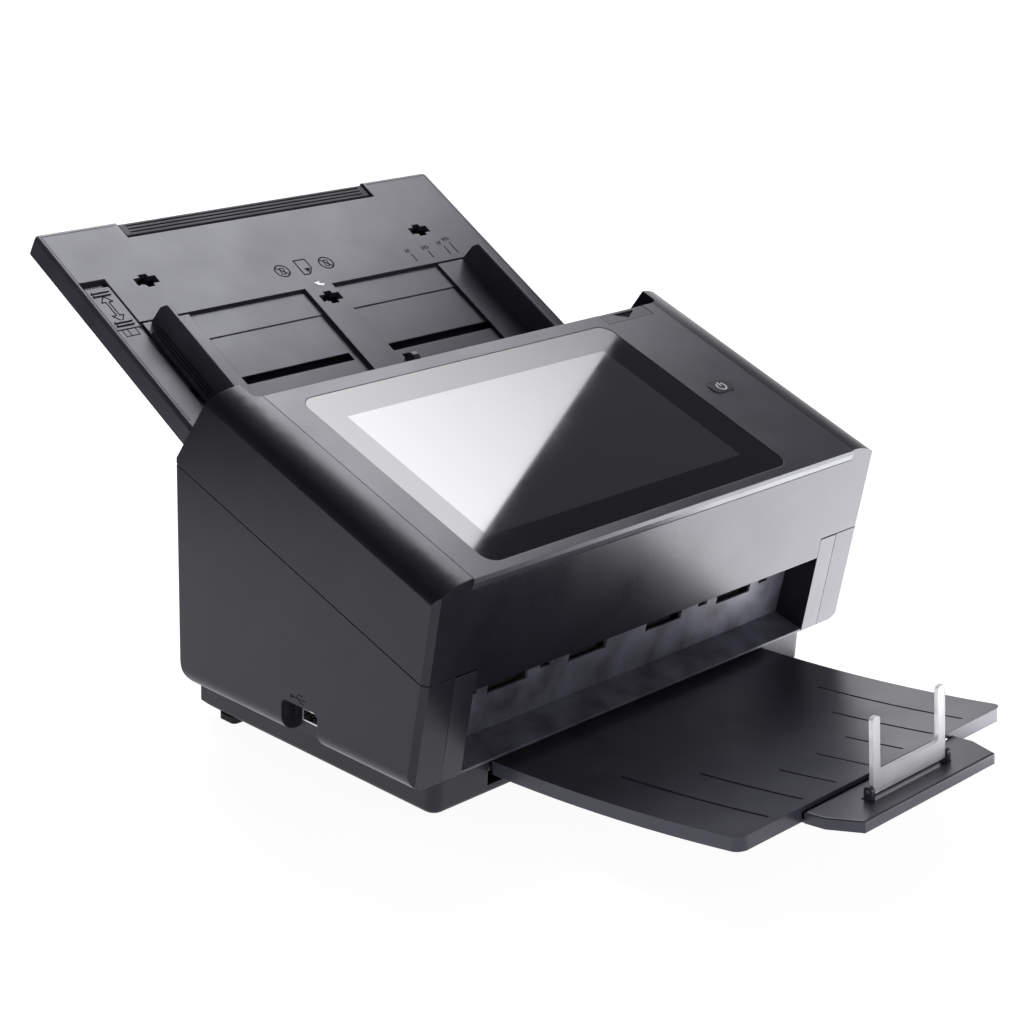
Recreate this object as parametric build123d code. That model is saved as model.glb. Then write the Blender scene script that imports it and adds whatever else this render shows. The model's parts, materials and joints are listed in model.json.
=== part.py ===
from build123d import *

import os
from math import atan2, cos, pi, radians, sin, tan

# Desktop sheet fed document scanner with a touch screen, built as separate pieces.
#
# Millimetres, +Z up. The front faces -Y and the left side is -X. Shapes are laid out in a
# working frame whose y is 0 near the middle of the housing, and export() moves them all so
# that the origin is at the bottom centre of the whole object's box.

# Housing
WIDTH = 316.0
HALF = WIDTH / 2
WALL = 2.5
GAP = 0.5  # seam between the upper unit and the side covers
FIT = 0.3  # clearance between neighbouring pieces
SHAFT_FIT = 0.05  # running clearance of a shaft in its bush

FRONT_TOP = (-95.0, 116.7)  # y, z of the front face at the top of the side
FRONT_LOW = (-81.0, 24.6)  # y, z of the front face at its lower edge
REAR_Y = 80.8
REAR_CORNER_Z = 140.6  # top of the upright rear edge
PEAK = (59.35, 171.3)  # top of the slanted rear edge of the side
SEAM_FRONT_Z = 78.5
SEAM_REAR_Z = 137.5
PANEL_LOW_Z = 67.6  # lower edge of the front panel above the exit
EDGE_BEVEL = 2.7
LOW_EDGE_R = 9.0
REAR_LOW_R = 13.0
SHOULDER_W = 20.7  # elliptical rounding between the side and the top
SHOULDER_H = 9.6

# Top plate and touch screen, measured in the sloping plane of the top
TOP_FRONT = (-97.0, 126.2)  # y, z of the plate's front edge
TOP_SLOPE = 19.5
TOP_LEN = 148.2
TOP_HALF = HALF - SHOULDER_W
LIP_Z = 120.6  # lower edge of the plate's front lip
GLASS = (-122.4, 89.7, 5.6, 139.4)  # x0, x1, s0, s1
GLASS_R = 7.5
GLASS_T = 2.0
SCREEN = (-108.4, 69.1, 21.8, 120.4)  # visible area of the display
POWER_AT = (109.5, 71.0)
POWER_SIZE = (16.5, 9.5, 3.5)  # length, width, corner radius
RELEASE = (93.0, 129.0, 139.0, 148.2)  # x0, x1, s0, s1
RELEASE_TRAVEL = 1.5

# Wings beside the paper entry
WING_IN = 141.7
ENTRY_Y = 42.7

# Recess with the host port in the left side, and the sockets in the rear
NICHE = (-19.6, 5.5, 42.5, 9.0)  # y0, y1, top z, depth
NICHE_R = 5.0  # rounded corner of the cover below the recess's front wall
USB_AT = (-6.2, 33.6)
REAR_SOCKETS = (
    (-92.0, 5.5, 34.0, 45.0),
    (-66.0, 8.0, 33.0, 46.5),
    (-42.0, 6.2, 33.5, 44.5),
)  # power inlet, network jack, device port: x, half width, low z, high z

# Front trims, exit cavity and base
COVER_IN = 139.0  # inner edge of each side cover's front return
TRIM_IN = 126.0
CAVITY_CREASE = (-63.5, 30.5)  # y, z where the floor meets the back wall
CAVITY_TOP = (-68.0, 55.5)
WINDOW_X = (-83.0, -28.0, 28.0, 83.0)
WINDOW_W = 27.0
WINDOW_LOW_Z = 50.5
BASE_HALF = 136.0
BASE_FRONT = -74.0
BASE_REAR = 93.0
BASE_LOW = 3.4
FLOOR_T = 2.5
FOOT_SIZE = (14.0, 12.0)
FRONT_FOOT = (118.0, -56.0)  # |x|, y of the feet
REAR_FOOT = (128.5, 74.0)
BASE_SCREW_AT = (115.0, 45.0)  # |x|, |y|
BASE_SCREW_R = 1.5

# Hinge of the upper unit
HINGE = (-84.2, 70.5)
HINGE_PIN_R = 1.5
HINGE_BOSS_R = 2.9

# Paper path and input tray: one plane, s measured up the slope from this point
PATH_AT = (83.55, 139.0)
PATH_SLOPE = 30.0
TRAY_HALF = 136.8
TRAY_LOW = -20.0
TRAY_LEN = 160.0
TRAY_T = 11.15
TRAY_SKIN = 3.6
TRAY_BACK = 1.8
TRAY_EDGE_R = 2.0
TRAY_PIVOT = (-14.0, -8.0)  # s, n
TRAY_STUD_R = 2.5
POCKET_DEPTH = 1.8
POCKET = (9.5, 121.0, 24.8, 88.5)  # |x| in, |x| out, s0, s1
SLOT = (35.5, 41.0)
SLOT_IN = 14.0
NOTCH_HALF = 86.5
NOTCH_S = 147.0
SHEET_LOW = 62.0  # lower end of the extension's sheet
CROSS_AT = ((-96.0, 115.2), (2.0, 79.2), (96.0, 115.2))
CROSS_SIZE = (6.8, 4.7, 2.6)  # half lengths of the two bars, half width of both
BACK_N = TRAY_BACK - TRAY_T
SCREW_SEAT = -5.9
LOCK = (-134.0, -118.8, 85.8, 120.8)
LOCK_TRAVEL = 4.5
FLAG_SLOT = (17.0, 22.0, 15.5, 32.0)  # x0, x1, s0, s1 of the sensor lever's slot
FLAG_PIVOT = (13.0, -6.4)  # s, n

# Side guides
GUIDE_IN = 108.3  # inner face of each guide when set for letter paper
FIN_T = 2.5
FIN_H = 14.5
GUIDE_PLATE = (88.0, 117.0)
RACK_PITCH_R = 6.0
GEAR_SPOT_S = 42.0
RACK_N = (-6.4, -4.0)
FIN_LOW = -10.0  # s of the lower and upper ends of a guide's fin
FIN_HIGH = 86.0

# Rollers: s of each contact along the path
FEED_S = -56.0
INLET_S = -92.0
OUTLET_S = -164.0
DRIVE_R = 8.5
IDLE_R = 5.5
SHAFT_R = 3.0
BUSH_R = 5.0
IDLE_SHAFT = (116.5, 1.6)  # half length, radius
FRAME_X = (122.0, 124.0)
GEAR_X = (129.0, 134.0)
MOTOR_DIRECTION = -50.0  # from the large gear to the pinion, degrees from +Y towards +Z
SENSOR_LOW = (-120.0, -104.0)  # s range of the lower and upper image sensors
SENSOR_HIGH = (-140.0, -124.0)

# Exit tray: s measured outwards from its rear edge
EXIT_AT = (-77.1, 20.6)
EXIT_TILT = 6.5
EXIT_LEN = 143.5
EXIT_HALF = 100.0
EXIT_T = 6.9
EXIT_SAG = 2.5
EXIT_PIVOT = (-68.0, 15.0)
EXIT_EXT_HALF = 57.0
GROOVES = ((0.0, 108.0), (25.5, 106.0), (49.5, 80.0), (74.0, 54.0))  # |x|, first s
GROOVE_END = 138.0
STOP_S = 158.3
STOP_HALF = 27.5
STOP_H = 35.0
STOP_N = 1.6
STOP_PIN_R = 0.9


def block(x0, x1, y0, y1, z0, z1):
    """A box between two corners."""
    centre = Pos((x0 + x1) / 2, (y0 + y1) / 2, (z0 + z1) / 2)
    return centre * Box(abs(x1 - x0), abs(y1 - y0), abs(z1 - z0))


def side_prism(points, x0, x1):
    """A YZ outline carried along X."""
    outline = Plane.YZ.offset(x0) * make_face(Polyline(*points, close=True))
    return extrude(outline, amount=x1 - x0)


def x_rod(x0, x1, y, z, r):
    """A round rod along X."""
    return Pos((x0 + x1) / 2, y, z) * Rot(0, 90, 0) * Cylinder(r, abs(x1 - x0))


def slope_plane(at, angle):
    """A plane through (y, z) that rises towards +Y by an angle."""
    a = radians(angle)
    return Plane(origin=(0, at[0], at[1]), x_dir=(1, 0, 0), z_dir=(0, -sin(a), cos(a)))


TOP = slope_plane(TOP_FRONT, TOP_SLOPE).location
PATH = slope_plane(PATH_AT, PATH_SLOPE).location
EXIT = slope_plane(EXIT_AT, -EXIT_TILT).location


def path_point(s, n):
    """(y, z) of a point given up the path and out from it."""
    a = radians(PATH_SLOPE)
    return PATH_AT[0] + s * cos(a) - n * sin(a), PATH_AT[1] + s * sin(a) + n * cos(a)


def front_y(z):
    """y of the undercut front face at a height."""
    slope = (FRONT_LOW[0] - FRONT_TOP[0]) / (FRONT_TOP[1] - FRONT_LOW[1])
    return FRONT_TOP[0] + (FRONT_TOP[1] - z) * slope


def seam_z(y):
    """Height of the sloping seam between the two units."""
    front = front_y(SEAM_FRONT_Z)
    rise = (SEAM_REAR_Z - SEAM_FRONT_Z) / (REAR_Y - front)
    return SEAM_FRONT_Z + (y - front) * rise


def top_z(y):
    """Height of the sloping top plane."""
    return TOP_FRONT[1] + (y - TOP_FRONT[0]) * tan(radians(TOP_SLOPE))


def rounded_plate(x0, x1, s0, s1, z0, z1, r):
    """A plate with rounded corners, in a sloping frame."""
    face = Pos((x0 + x1) / 2, (s0 + s1) / 2, z0) * RectangleRounded(x1 - x0, s1 - s0, r)
    return extrude(face, amount=z1 - z0)


def both_sides(shape):
    """A shape and its mirror image across x = 0."""
    return shape + mirror(shape, about=Plane.YZ)


def gear(teeth, module, width, bore, turn=0.0):
    """A spur gear with straight-flanked teeth; its axis is Z and it starts at z = 0."""
    pitch_r = teeth * module / 2
    outer = pitch_r + 0.9 * module
    root = pitch_r - 1.2 * module
    step = 2 * pi / teeth
    spans = ((-0.29, root), (-0.13, outer), (0.13, outer), (0.29, root))
    points = []
    for k in range(teeth):
        for part, radius in spans:
            a = (k + part) * step + radians(turn)
            points.append((radius * cos(a), radius * sin(a)))
    body = extrude(make_face(Polyline(*points, close=True)), amount=width)
    return body - Pos(0, 0, width / 2) * Cylinder(bore, width * 2)


def mesh_turn(turn_a, teeth_a, teeth_b, direction):
    """Turn of gear B, in degrees, so that it meshes with gear A along a direction."""
    part_a = (direction - turn_a) * teeth_a / 360.0
    part_b = 0.5 - part_a
    return direction + 180.0 - part_b * 360.0 / teeth_b


# ---------------------------------------------------------------- housing


def shoulder_profile(inset):
    """Section across the top slope: flat top with elliptical shoulders."""
    half = HALF - inset
    top = -inset
    flat = TOP_HALF - inset * 0.2
    wide = half - flat
    high = SHOULDER_H
    deep = -220.0
    right = EllipticalCenterArc((flat, top - high), wide, high, start_angle=0, arc_size=90)
    left = EllipticalCenterArc((-flat, top - high), wide, high, start_angle=90, arc_size=90)
    edges = [
        Line((half, deep), (half, top - high)),
        right,
        Line((flat, top), (-flat, top)),
        left,
        Line((-half, top - high), (-half, deep)),
        Line((-half, deep), (half, deep)),
    ]
    return make_face(edges)


def upper_block(inset, drop):
    """Solid inside the upper unit's skin, shrunk by an inset and cut at the seam."""
    slope = atan2(REAR_Y - PEAK[0], PEAK[1] - REAR_CORNER_Z)
    rise = (top_z(PEAK[0]) - PEAK[1]) / (1 + tan(slope) * tan(radians(TOP_SLOPE)))
    back = PEAK[0] - rise * tan(slope)
    lift = 12.0
    front_high = front_y(FRONT_TOP[1] + lift)
    front_low = seam_z(front_y(SEAM_FRONT_Z)) + GAP / 2 - drop
    outline = [
        (REAR_Y - inset, seam_z(REAR_Y) + GAP / 2 - drop),
        (REAR_Y - inset, REAR_CORNER_Z - inset * 0.6),
        (back - inset, PEAK[1] + rise),
        (back - inset, PEAK[1] + rise + lift),
        (front_high + inset, FRONT_TOP[1] + lift),
        (front_y(front_low) + inset, front_low),
    ]
    body = side_prism(outline, -HALF + inset, HALF - inset)
    section = Plane(
        origin=(0, TOP_FRONT[0], TOP_FRONT[1]),
        x_dir=(1, 0, 0),
        z_dir=(0, -cos(radians(TOP_SLOPE)), -sin(radians(TOP_SLOPE))),
    )
    tunnel = extrude(section * shoulder_profile(inset), amount=20)
    tunnel += extrude(section * shoulder_profile(inset), amount=-200)
    return body & tunnel


def front_bevels(z0, z1):
    """Wedges that bevel the two upright front corners."""
    wedges = []
    for side in (-1, 1):
        low = Plane((0, 0, z0)) * make_face(bevel_triangle(side, front_y(z0)))
        high = Plane((0, 0, z1)) * make_face(bevel_triangle(side, front_y(z1)))
        wedges.append(loft([low, high]))
    return wedges[0] + wedges[1]


def bevel_triangle(side, y):
    """Plan outline of one bevel at the front corner."""
    spare = 3.0
    return Polyline(
        (side * (HALF - EDGE_BEVEL - spare), y - spare),
        (side * (HALF + spare), y - spare),
        (side * (HALF + spare), y + EDGE_BEVEL + spare),
        close=True,
    )


def upper_cover():
    """Upper shell: sides, shoulders, front panel, wings and the wall behind the plate."""
    shell = upper_block(0, 0) - front_bevels(SEAM_FRONT_Z - 20, FRONT_TOP[1] + 15)
    shell -= upper_block(WALL, 30)
    flap_low = front_y(PANEL_LOW_Z)
    flap_high = front_y(SEAM_FRONT_Z + 2)
    flap = [
        (flap_high, SEAM_FRONT_Z + 2),
        (flap_low, PANEL_LOW_Z),
        (flap_low + WALL, PANEL_LOW_Z),
        (flap_high + WALL, SEAM_FRONT_Z + 2),
    ]
    shell += side_prism(flap, -TRIM_IN + FIT, TRIM_IN - FIT)
    deck = TOP * block(-TOP_HALF, TOP_HALF, -30, TOP_LEN, -WALL - 0.1, 30)
    shell -= deck
    shell -= block(-TOP_HALF, TOP_HALF, -120, -80, LIP_Z, 140)
    entry = block(-WING_IN, WING_IN, ENTRY_Y, 120, 60, 240)
    entry = fillet(entry.edges().filter_by(Axis.Z).group_by(Axis.Y)[0], 4.0)
    shell -= entry
    outer = upper_block(0, 0)
    wing_wall = block(WING_IN, WING_IN + WALL, ENTRY_Y - 4, 90, 100, 200)
    shell += both_sides(wing_wall) & outer
    top_of_wall = top_z(ENTRY_Y) - WALL - 0.5
    wall = [
        (ENTRY_Y - WALL, 124.5),
        (ENTRY_Y, 127.0),
        (ENTRY_Y, top_of_wall),
        (ENTRY_Y - WALL, top_of_wall - 0.9),
    ]
    shell += side_prism(wall, -WING_IN - 0.5, WING_IN + 0.5)
    rx0, rx1, rs0, rs1 = RELEASE
    shell -= TOP * block(rx0 - FIT, rx1 + FIT, rs0 - 1, rs1 + 5, -3.2 - RELEASE_TRAVEL - 2 * FIT, 5)
    for side in (-1, 1):
        inner = side * (TRIM_IN - 1.0)
        boss = x_rod(inner - side * 6.0, inner, HINGE[0], HINGE[1], HINGE_BOSS_R)
        web_y = HINGE[0] - 1.5
        web = block(inner - side * 6.0, inner, web_y, web_y + 3, HINGE[1], HINGE[1] + 12)
        shell += boss + web
    bores = x_rod(-TRIM_IN - 1, TRIM_IN + 1, HINGE[0], HINGE[1], HINGE_PIN_R + SHAFT_FIT)
    return shell - bores


def side_outline(inset):
    """YZ outline of a side cover, below the seam."""
    top = GAP / 2 + inset
    return [
        (REAR_Y - inset, FRONT_LOW[1] + inset),
        (REAR_Y - inset, seam_z(REAR_Y) - top),
        (front_y(SEAM_FRONT_Z) + inset, SEAM_FRONT_Z - top),
        (FRONT_LOW[0] + inset, FRONT_LOW[1] + inset),
    ]


def cover_block(inset):
    """Solid inside a side cover's skin, with its rounded lower edges, shrunk by an inset."""
    shape = side_prism(side_outline(inset), COVER_IN - 2 * inset, HALF - inset)
    rear_low = shape.edges().filter_by(Axis.X).group_by(Axis.Z)[0].sort_by(Axis.Y)[-1]
    shape = fillet(rear_low, REAR_LOW_R - inset)
    bar = block(COVER_IN - 10, HALF - inset, -120, 120, FRONT_LOW[1] + inset, 160)
    low = bar.edges().filter_by(Axis.Y).group_by(Axis.Z)[0].sort_by(Axis.X)[-1]
    return shape & fillet(low, LOW_EDGE_R - inset)


def side_cover(side):
    """Lower side cover with a front return and the pivot block of the input tray."""
    outer = cover_block(0) - front_bevels(FRONT_LOW[1] - 5, SEAM_FRONT_Z + 5)
    cover = outer - cover_block(WALL)
    pivot = path_point(*TRAY_PIVOT)
    boss = block(TRAY_HALF + 0.6, HALF - 1, pivot[0] - 5, REAR_Y - 3.1, pivot[1] - 9, pivot[1] + 6)
    cover += boss
    cover -= x_rod(100, TRAY_HALF + 5.2, *pivot, TRAY_STUD_R + SHAFT_FIT)
    if side < 0:
        cover -= niche_cut()
        cover += niche_walls()
        cover -= niche_flare()
        cover -= usb_hole()
    return cover if side > 0 else mirror_x(cover)


def mirror_x(shape):
    """Mirror image across x = 0."""
    return mirror(shape, about=Plane.YZ)


def niche_cut():
    """Recess in the lower edge of the left cover (built on the +X side)."""
    y0, y1, top, deep = NICHE
    hole = block(HALF - deep, HALF + 10, y0, y1, 10, top)
    upper = hole.edges().filter_by(Axis.X).group_by(Axis.Z)[-1]
    return fillet(upper, 3.0)


def niche_flare():
    """What rounds the cover's corner below the recess's front wall."""
    y = NICHE[0]
    z = FRONT_LOW[1]
    corner = block(HALF - NICHE[3], HALF + 10, y - NICHE_R, y + 0.1, z - 5, z + NICHE_R)
    return corner - x_rod(HALF - 20, HALF + 20, y - NICHE_R, z + NICHE_R, NICHE_R)


def niche_walls():
    """Floor and walls of that recess."""
    y0, y1, top, deep = NICHE
    outer = block(HALF - deep - 2, HALF - 1, y0 - 2, y1 + 2, FRONT_LOW[1] + 0.6, top + 2)
    return (outer & cover_block(0)) - niche_cut()


def usb_hole():
    """Window in the recess's floor around the port."""
    y, z = USB_AT
    return block(HALF - 14, HALF - 5, y - 7.2, y + 7.2, z - 3.5, z + 3.5)


def usb_host_port():
    """Type A receptacle that faces out of the left side."""
    y, z = USB_AT
    shell = block(-HALF + 8.65, -HALF + 23, y - 6.9, y + 6.9, z - 3.2, z + 3.2)
    shell -= block(-HALF + 8.0, -HALF + 21, y - 6.2, y + 6.2, z - 2.5, z + 2.5)
    tongue = block(-HALF + 11.5, -HALF + 21.5, y - 5.4, y + 5.4, z + 0.5, z + 2.2)
    return shell + tongue


def front_trim(side):
    """Upright strip beside the exit, with the wall of the cavity behind it."""
    z0, z1 = FRONT_LOW[1], SEAM_FRONT_Z - GAP
    face = [
        (front_y(z0), z0),
        (front_y(z0) + WALL, z0),
        (front_y(z1) + WALL, z1),
        (front_y(z1), z1),
    ]
    strip = side_prism(face, TRIM_IN, COVER_IN - 0.2)
    cheek = [
        (front_y(z0) + 0.5, z0),
        (CAVITY_CREASE[0] + 3, z0),
        (CAVITY_TOP[0] + 5, z1),
        (front_y(z1) + 0.5, z1),
    ]
    strip += side_prism(cheek, TRIM_IN, TRIM_IN + 2)
    strip -= x_rod(TRIM_IN - 3, TRIM_IN + 5, *HINGE, HINGE_PIN_R)
    return strip if side > 0 else mirror_x(strip)


def hinge_pins():
    """Steel pins that carry the upper unit."""
    return both_sides(x_rod(TRIM_IN - 6.5, TRIM_IN + 4, *HINGE, HINGE_PIN_R))


def rear_cover():
    """Upright rear wall with a window for the sockets."""
    wall = block(-COVER_IN + FIT, COVER_IN - FIT, REAR_Y - WALL, REAR_Y, FRONT_LOW[1], 115.0)
    shelf = block(-COVER_IN + FIT, COVER_IN - FIT, REAR_Y - 8, REAR_Y, 112.5, 115.0)
    cover = wall + shelf
    for k in range(14):
        x = 30 + 6.5 * k
        cover -= block(x, x + 2.6, REAR_Y - 5, REAR_Y + 5, 60, 96)
    for x, half_w, low, high in REAR_SOCKETS:
        window = (x - half_w - FIT, x + half_w + FIT, REAR_Y - 5, REAR_Y + 5, low - FIT, high + FIT)
        cover -= block(*window)
    return cover


def rear_sockets():
    """Power inlet, network jack and device port, as three separate receptacles."""
    sockets = Part()
    mouths = (None, (11.8, 8.2), (8.6, 7.8))
    for (x, half_w, low, high), mouth in zip(REAR_SOCKETS, mouths):
        mid = (low + high) / 2
        body = block(x - half_w, x + half_w, REAR_Y - 7.2, REAR_Y + 0.2, low, high)
        if mouth is None:
            body -= Pos(x, REAR_Y - 2.8, mid) * Rot(90, 0, 0) * Cylinder(3.1, 6.4)
            body += Pos(x, REAR_Y - 3.8, mid) * Rot(90, 0, 0) * Cylinder(1.0, 6.0)
        else:
            wide, tall = mouth[0] / 2, mouth[1] / 2
            body -= block(x - wide, x + wide, REAR_Y - 6, REAR_Y + 1, mid - tall, mid + tall)
        sockets += body
    return sockets


def exit_cavity_liner():
    """Sloping floor and back wall under the front panel, with the roller windows."""
    lip_y, lip_z = front_y(FRONT_LOW[1]) + 0.2, FRONT_LOW[1]
    (cy, cz), (ty, tz) = CAVITY_CREASE, CAVITY_TOP
    outline = [
        (lip_y, lip_z),
        (lip_y, lip_z + 1.2),
        (cy, cz),
        (ty, tz),
        (ty + 4.0, tz + 1.2),
        (ty + 4.0, tz - 0.8),
        (ty + 2.0, tz - 2.0),
        (cy + 2.0, cz - 1.5),
        (cy + 2.0, cz - 2.0),
        (lip_y + 1.5, lip_z),
    ]
    liner = side_prism(outline, -TRIM_IN + 0.1, TRIM_IN - 0.1)
    windows = [(x, WINDOW_W) for x in WINDOW_X]
    windows += [(x, 7.0) for x in (-107.0, -58.0, 58.0, 107.0)]
    for x, wide in windows:
        low = WINDOW_LOW_Z if wide > 10 else WINDOW_LOW_Z + 2.6
        liner -= block(x - wide / 2, x + wide / 2, ty - 6, ty + 8, low, tz + 5)
    return liner


def base_pan():
    """Shallow pan under the housing that stores the exit tray."""
    outline = [
        (BASE_FRONT, BASE_LOW),
        (BASE_REAR - 12, BASE_LOW),
        (BASE_REAR, BASE_LOW + 2),
        (BASE_REAR, FRONT_LOW[1] - 0.2),
        (BASE_FRONT - 0.6, FRONT_LOW[1] - 0.2),
    ]
    pan = side_prism(outline, -BASE_HALF, BASE_HALF)
    upright = pan.edges().filter_by(Axis.Z, tolerance=5).group_by(Axis.Y)[0]
    pan = fillet(upright, 6.0)
    bottom = pan.edges().group_by(Axis.Z)[0].filter_by(Axis.X).sort_by(Axis.Y)[0]
    pan = fillet(bottom, 2.5)
    inner = block(
        -BASE_HALF + WALL,
        BASE_HALF - WALL,
        BASE_FRONT + WALL,
        BASE_REAR - WALL - 4,
        BASE_LOW + FLOOR_T,
        40,
    )
    pan -= inner
    top = EXIT_AT[1] + 3.2
    pan -= block(-EXIT_HALF - 1.5, EXIT_HALF + 1.5, BASE_FRONT - 5, BASE_FRONT + 5, 8.0, top)
    for side in (-1, 1):
        x = side * (EXIT_HALF + 4.0)
        pan += block(x - 1.2, x + 1.2, BASE_FRONT + 2, BASE_REAR - 8, BASE_LOW + 1, 20.0)
    for x, y in base_screw_spots():
        pan -= Pos(x, y, BASE_LOW) * Cylinder(BASE_SCREW_R + 0.2, 12)
    return pan


def rubber_feet():
    """Four rubber feet under the pan."""
    feet = Part()
    for x, y in (FRONT_FOOT, REAR_FOOT):
        pad = Pos(x, y, 0) * RectangleRounded(FOOT_SIZE[0], FOOT_SIZE[1], 2.5)
        feet += both_sides(extrude(pad, amount=BASE_LOW))
    return feet


def base_screws():
    """Screws that hold the pan to the frame, from below."""
    screws = Part()
    for x, y in base_screw_spots():
        head = Pos(x, y, BASE_LOW - 1.0) * Cylinder(3.2, 2.0)
        slot = Pos(x, y, BASE_LOW - 1.8) * (Box(3.8, 0.9, 1.0) + Box(0.9, 3.8, 1.0))
        shank = Pos(x, y, BASE_LOW + 3) * Cylinder(BASE_SCREW_R, 6.0)
        screws += head - slot + shank
    return screws


def base_screw_spots():
    """(x, y) of the four screws under the pan."""
    x, y = BASE_SCREW_AT
    return [(-x, -y), (-x, y), (x, -y), (x, y)]


# ---------------------------------------------------------------- top plate


def display_bezel():
    """Sloping top plate that frames the glass and holds the buttons."""
    half = TOP_HALF - 0.2
    plate = TOP * block(-half, half, 0, TOP_LEN - 0.2, -WALL, 0)
    lip_y = front_y(LIP_Z)
    lip = [
        (TOP_FRONT[0], TOP_FRONT[1]),
        (TOP_FRONT[0] + 0.2, TOP_FRONT[1] - 2.4),
        (lip_y - 0.15, LIP_Z + 0.3),
        (lip_y + WALL, LIP_Z + 0.3),
        (TOP_FRONT[0] + WALL + 1, TOP_FRONT[1] - 0.5),
    ]
    plate += side_prism(lip, -half, half)
    x0, x1, s0, s1 = GLASS
    plate -= TOP * rounded_plate(x0, x1, s0, s1, -9, 9, GLASS_R)
    plate += TOP * bezel_ledge()
    length, width, r = POWER_SIZE
    px, ps = POWER_AT
    hole = (px - length / 2, px + length / 2, ps - width / 2, ps + width / 2)
    plate -= TOP * rounded_plate(*hole, -9, 9, r)
    rx0, rx1, rs0, rs1 = RELEASE
    plate -= TOP * block(rx0, rx1, rs0, rs1 + 5, -9, 9)
    return plate


def bezel_ledge():
    """Step around the window that the glass rests on."""
    x0, x1, s0, s1 = GLASS
    ring = rounded_plate(x0 - 1, x1 + 1, s0 - 1, s1 + 1, -GLASS_T - 1.6, -GLASS_T - 0.2, GLASS_R)
    hole = rounded_plate(x0 + 5, x1 - 5, s0 + 5, s1 - 5, -9, 9, 3.0)
    return ring - hole


def touch_glass():
    """Cover glass of the touch screen, flush in the plate."""
    x0, x1, s0, s1 = GLASS
    gap = 0.15
    sheet = rounded_plate(x0 + gap, x1 - gap, s0 + gap, s1 - gap, -GLASS_T - 0.2, -0.2, GLASS_R)
    return TOP * sheet


def display_module():
    """Display panel under the glass."""
    x0, x1, s0, s1 = SCREEN
    top = -GLASS_T - 0.25
    panel = block(x0 - 4, x1 + 4, s0 - 6, s1 + 4, top - 4.5, top)
    return TOP * panel


def display_board():
    """Controller board under the display and the buttons."""
    board = block(-60, 122, 44, 96, -11.2, -9.6)
    for x, s, w, d, h in ((-20, 70, 16, 16, 1.4), (20, 62, 10, 12, 1.2), (50, 80, 12, 8, 1.2)):
        board += block(x - w / 2, x + w / 2, s - d / 2, s + d / 2, -9.7, -9.6 + h)
    return TOP * board


def power_button():
    """Rounded push button beside the screen."""
    length, width, r = POWER_SIZE
    px, ps = POWER_AT
    gap = 0.35
    half_l, half_w = length / 2 - gap, width / 2 - gap
    cap = rounded_plate(px - half_l, px + half_l, ps - half_w, ps + half_w, -4.5, 0.5, r - gap)
    cap = chamfer(cap.faces().sort_by(Axis.Z)[-1].edges(), 0.3)
    stem = Pos(px, ps, -5.9) * Cylinder(1.6, 3.0)
    return TOP * (cap + stem)


def release_button():
    """Latch button in the rear edge of the plate, with an arrow mark."""
    rx0, rx1, rs0, rs1 = RELEASE
    gap = 0.35
    cap = block(rx0 + gap, rx1 - gap, rs0 + gap, rs1 - 0.3, -3.2, -0.1)
    mark = Pos(0, 0, -0.7) * make_face(
        Polyline(
            ((rx0 + rx1) / 2 - 8.5, rs0 + 7.2),
            ((rx0 + rx1) / 2 + 8.5, rs0 + 7.2),
            ((rx0 + rx1) / 2, rs0 + 1.9),
            close=True,
        )
    )
    cap -= extrude(mark, amount=2)
    stem = block(rx0 + 10, rx1 - 10, rs0 + 0.6, rs0 + 2.6, -7.0, -3.0)
    return TOP * (cap + stem)


# ---------------------------------------------------------------- paper path


def frame_plate(side):
    """Steel side plate with the bearing holes."""
    x0, x1 = FRAME_X
    outline = [
        (-61, BASE_LOW + FLOOR_T + 0.1),
        (66, BASE_LOW + FLOOR_T + 0.1),
        (66, 112),
        (54, 116),
        (-61, seam_z(-61) - 14),
    ]
    plate = side_prism(outline, x0, x1)
    screw_x, screw_y = BASE_SCREW_AT
    foot_z = BASE_LOW + FLOOR_T + 0.1
    for y in (-screw_y, screw_y):
        plate += block(screw_x - 5, x0, y - 8, y + 8, foot_z, foot_z + 2)
        plate -= Pos(screw_x, y, foot_z) * Cylinder(BASE_SCREW_R, 12)
    for s in (FEED_S, INLET_S, OUTLET_S):
        plate -= x_rod(x0 - 1, x1 + 1, *path_point(s, -DRIVE_R + 0.5), BUSH_R)
    if side > 0:
        plate -= x_rod(x0 - 1, x1 + 1, *motor_at(), 11.2)
        for spot in (middle_at(), idler_at()):
            plate += x_rod(x1 - 0.5, GEAR_X[1] + 0.8, *spot, 1.95)
    for y in (-30, 4, 38):
        plate -= x_rod(x0 - 1, x1 + 1, y, 30 + (y + 30) * 0.2, 7.5)
    return plate if side > 0 else mirror_x(plate)


def roller_bushes():
    """Bearing bushes of the three driven shafts, one in each frame plate."""
    bushes = Part()
    for s in (FEED_S, INLET_S, OUTLET_S):
        y, z = path_point(s, -DRIVE_R + 0.5)
        bush = x_rod(FRAME_X[0] - 1.0, FRAME_X[1] + 0.6, y, z, BUSH_R)
        bush -= x_rod(100, 150, y, z, SHAFT_R + SHAFT_FIT)
        bushes += both_sides(bush)
    return bushes


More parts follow.
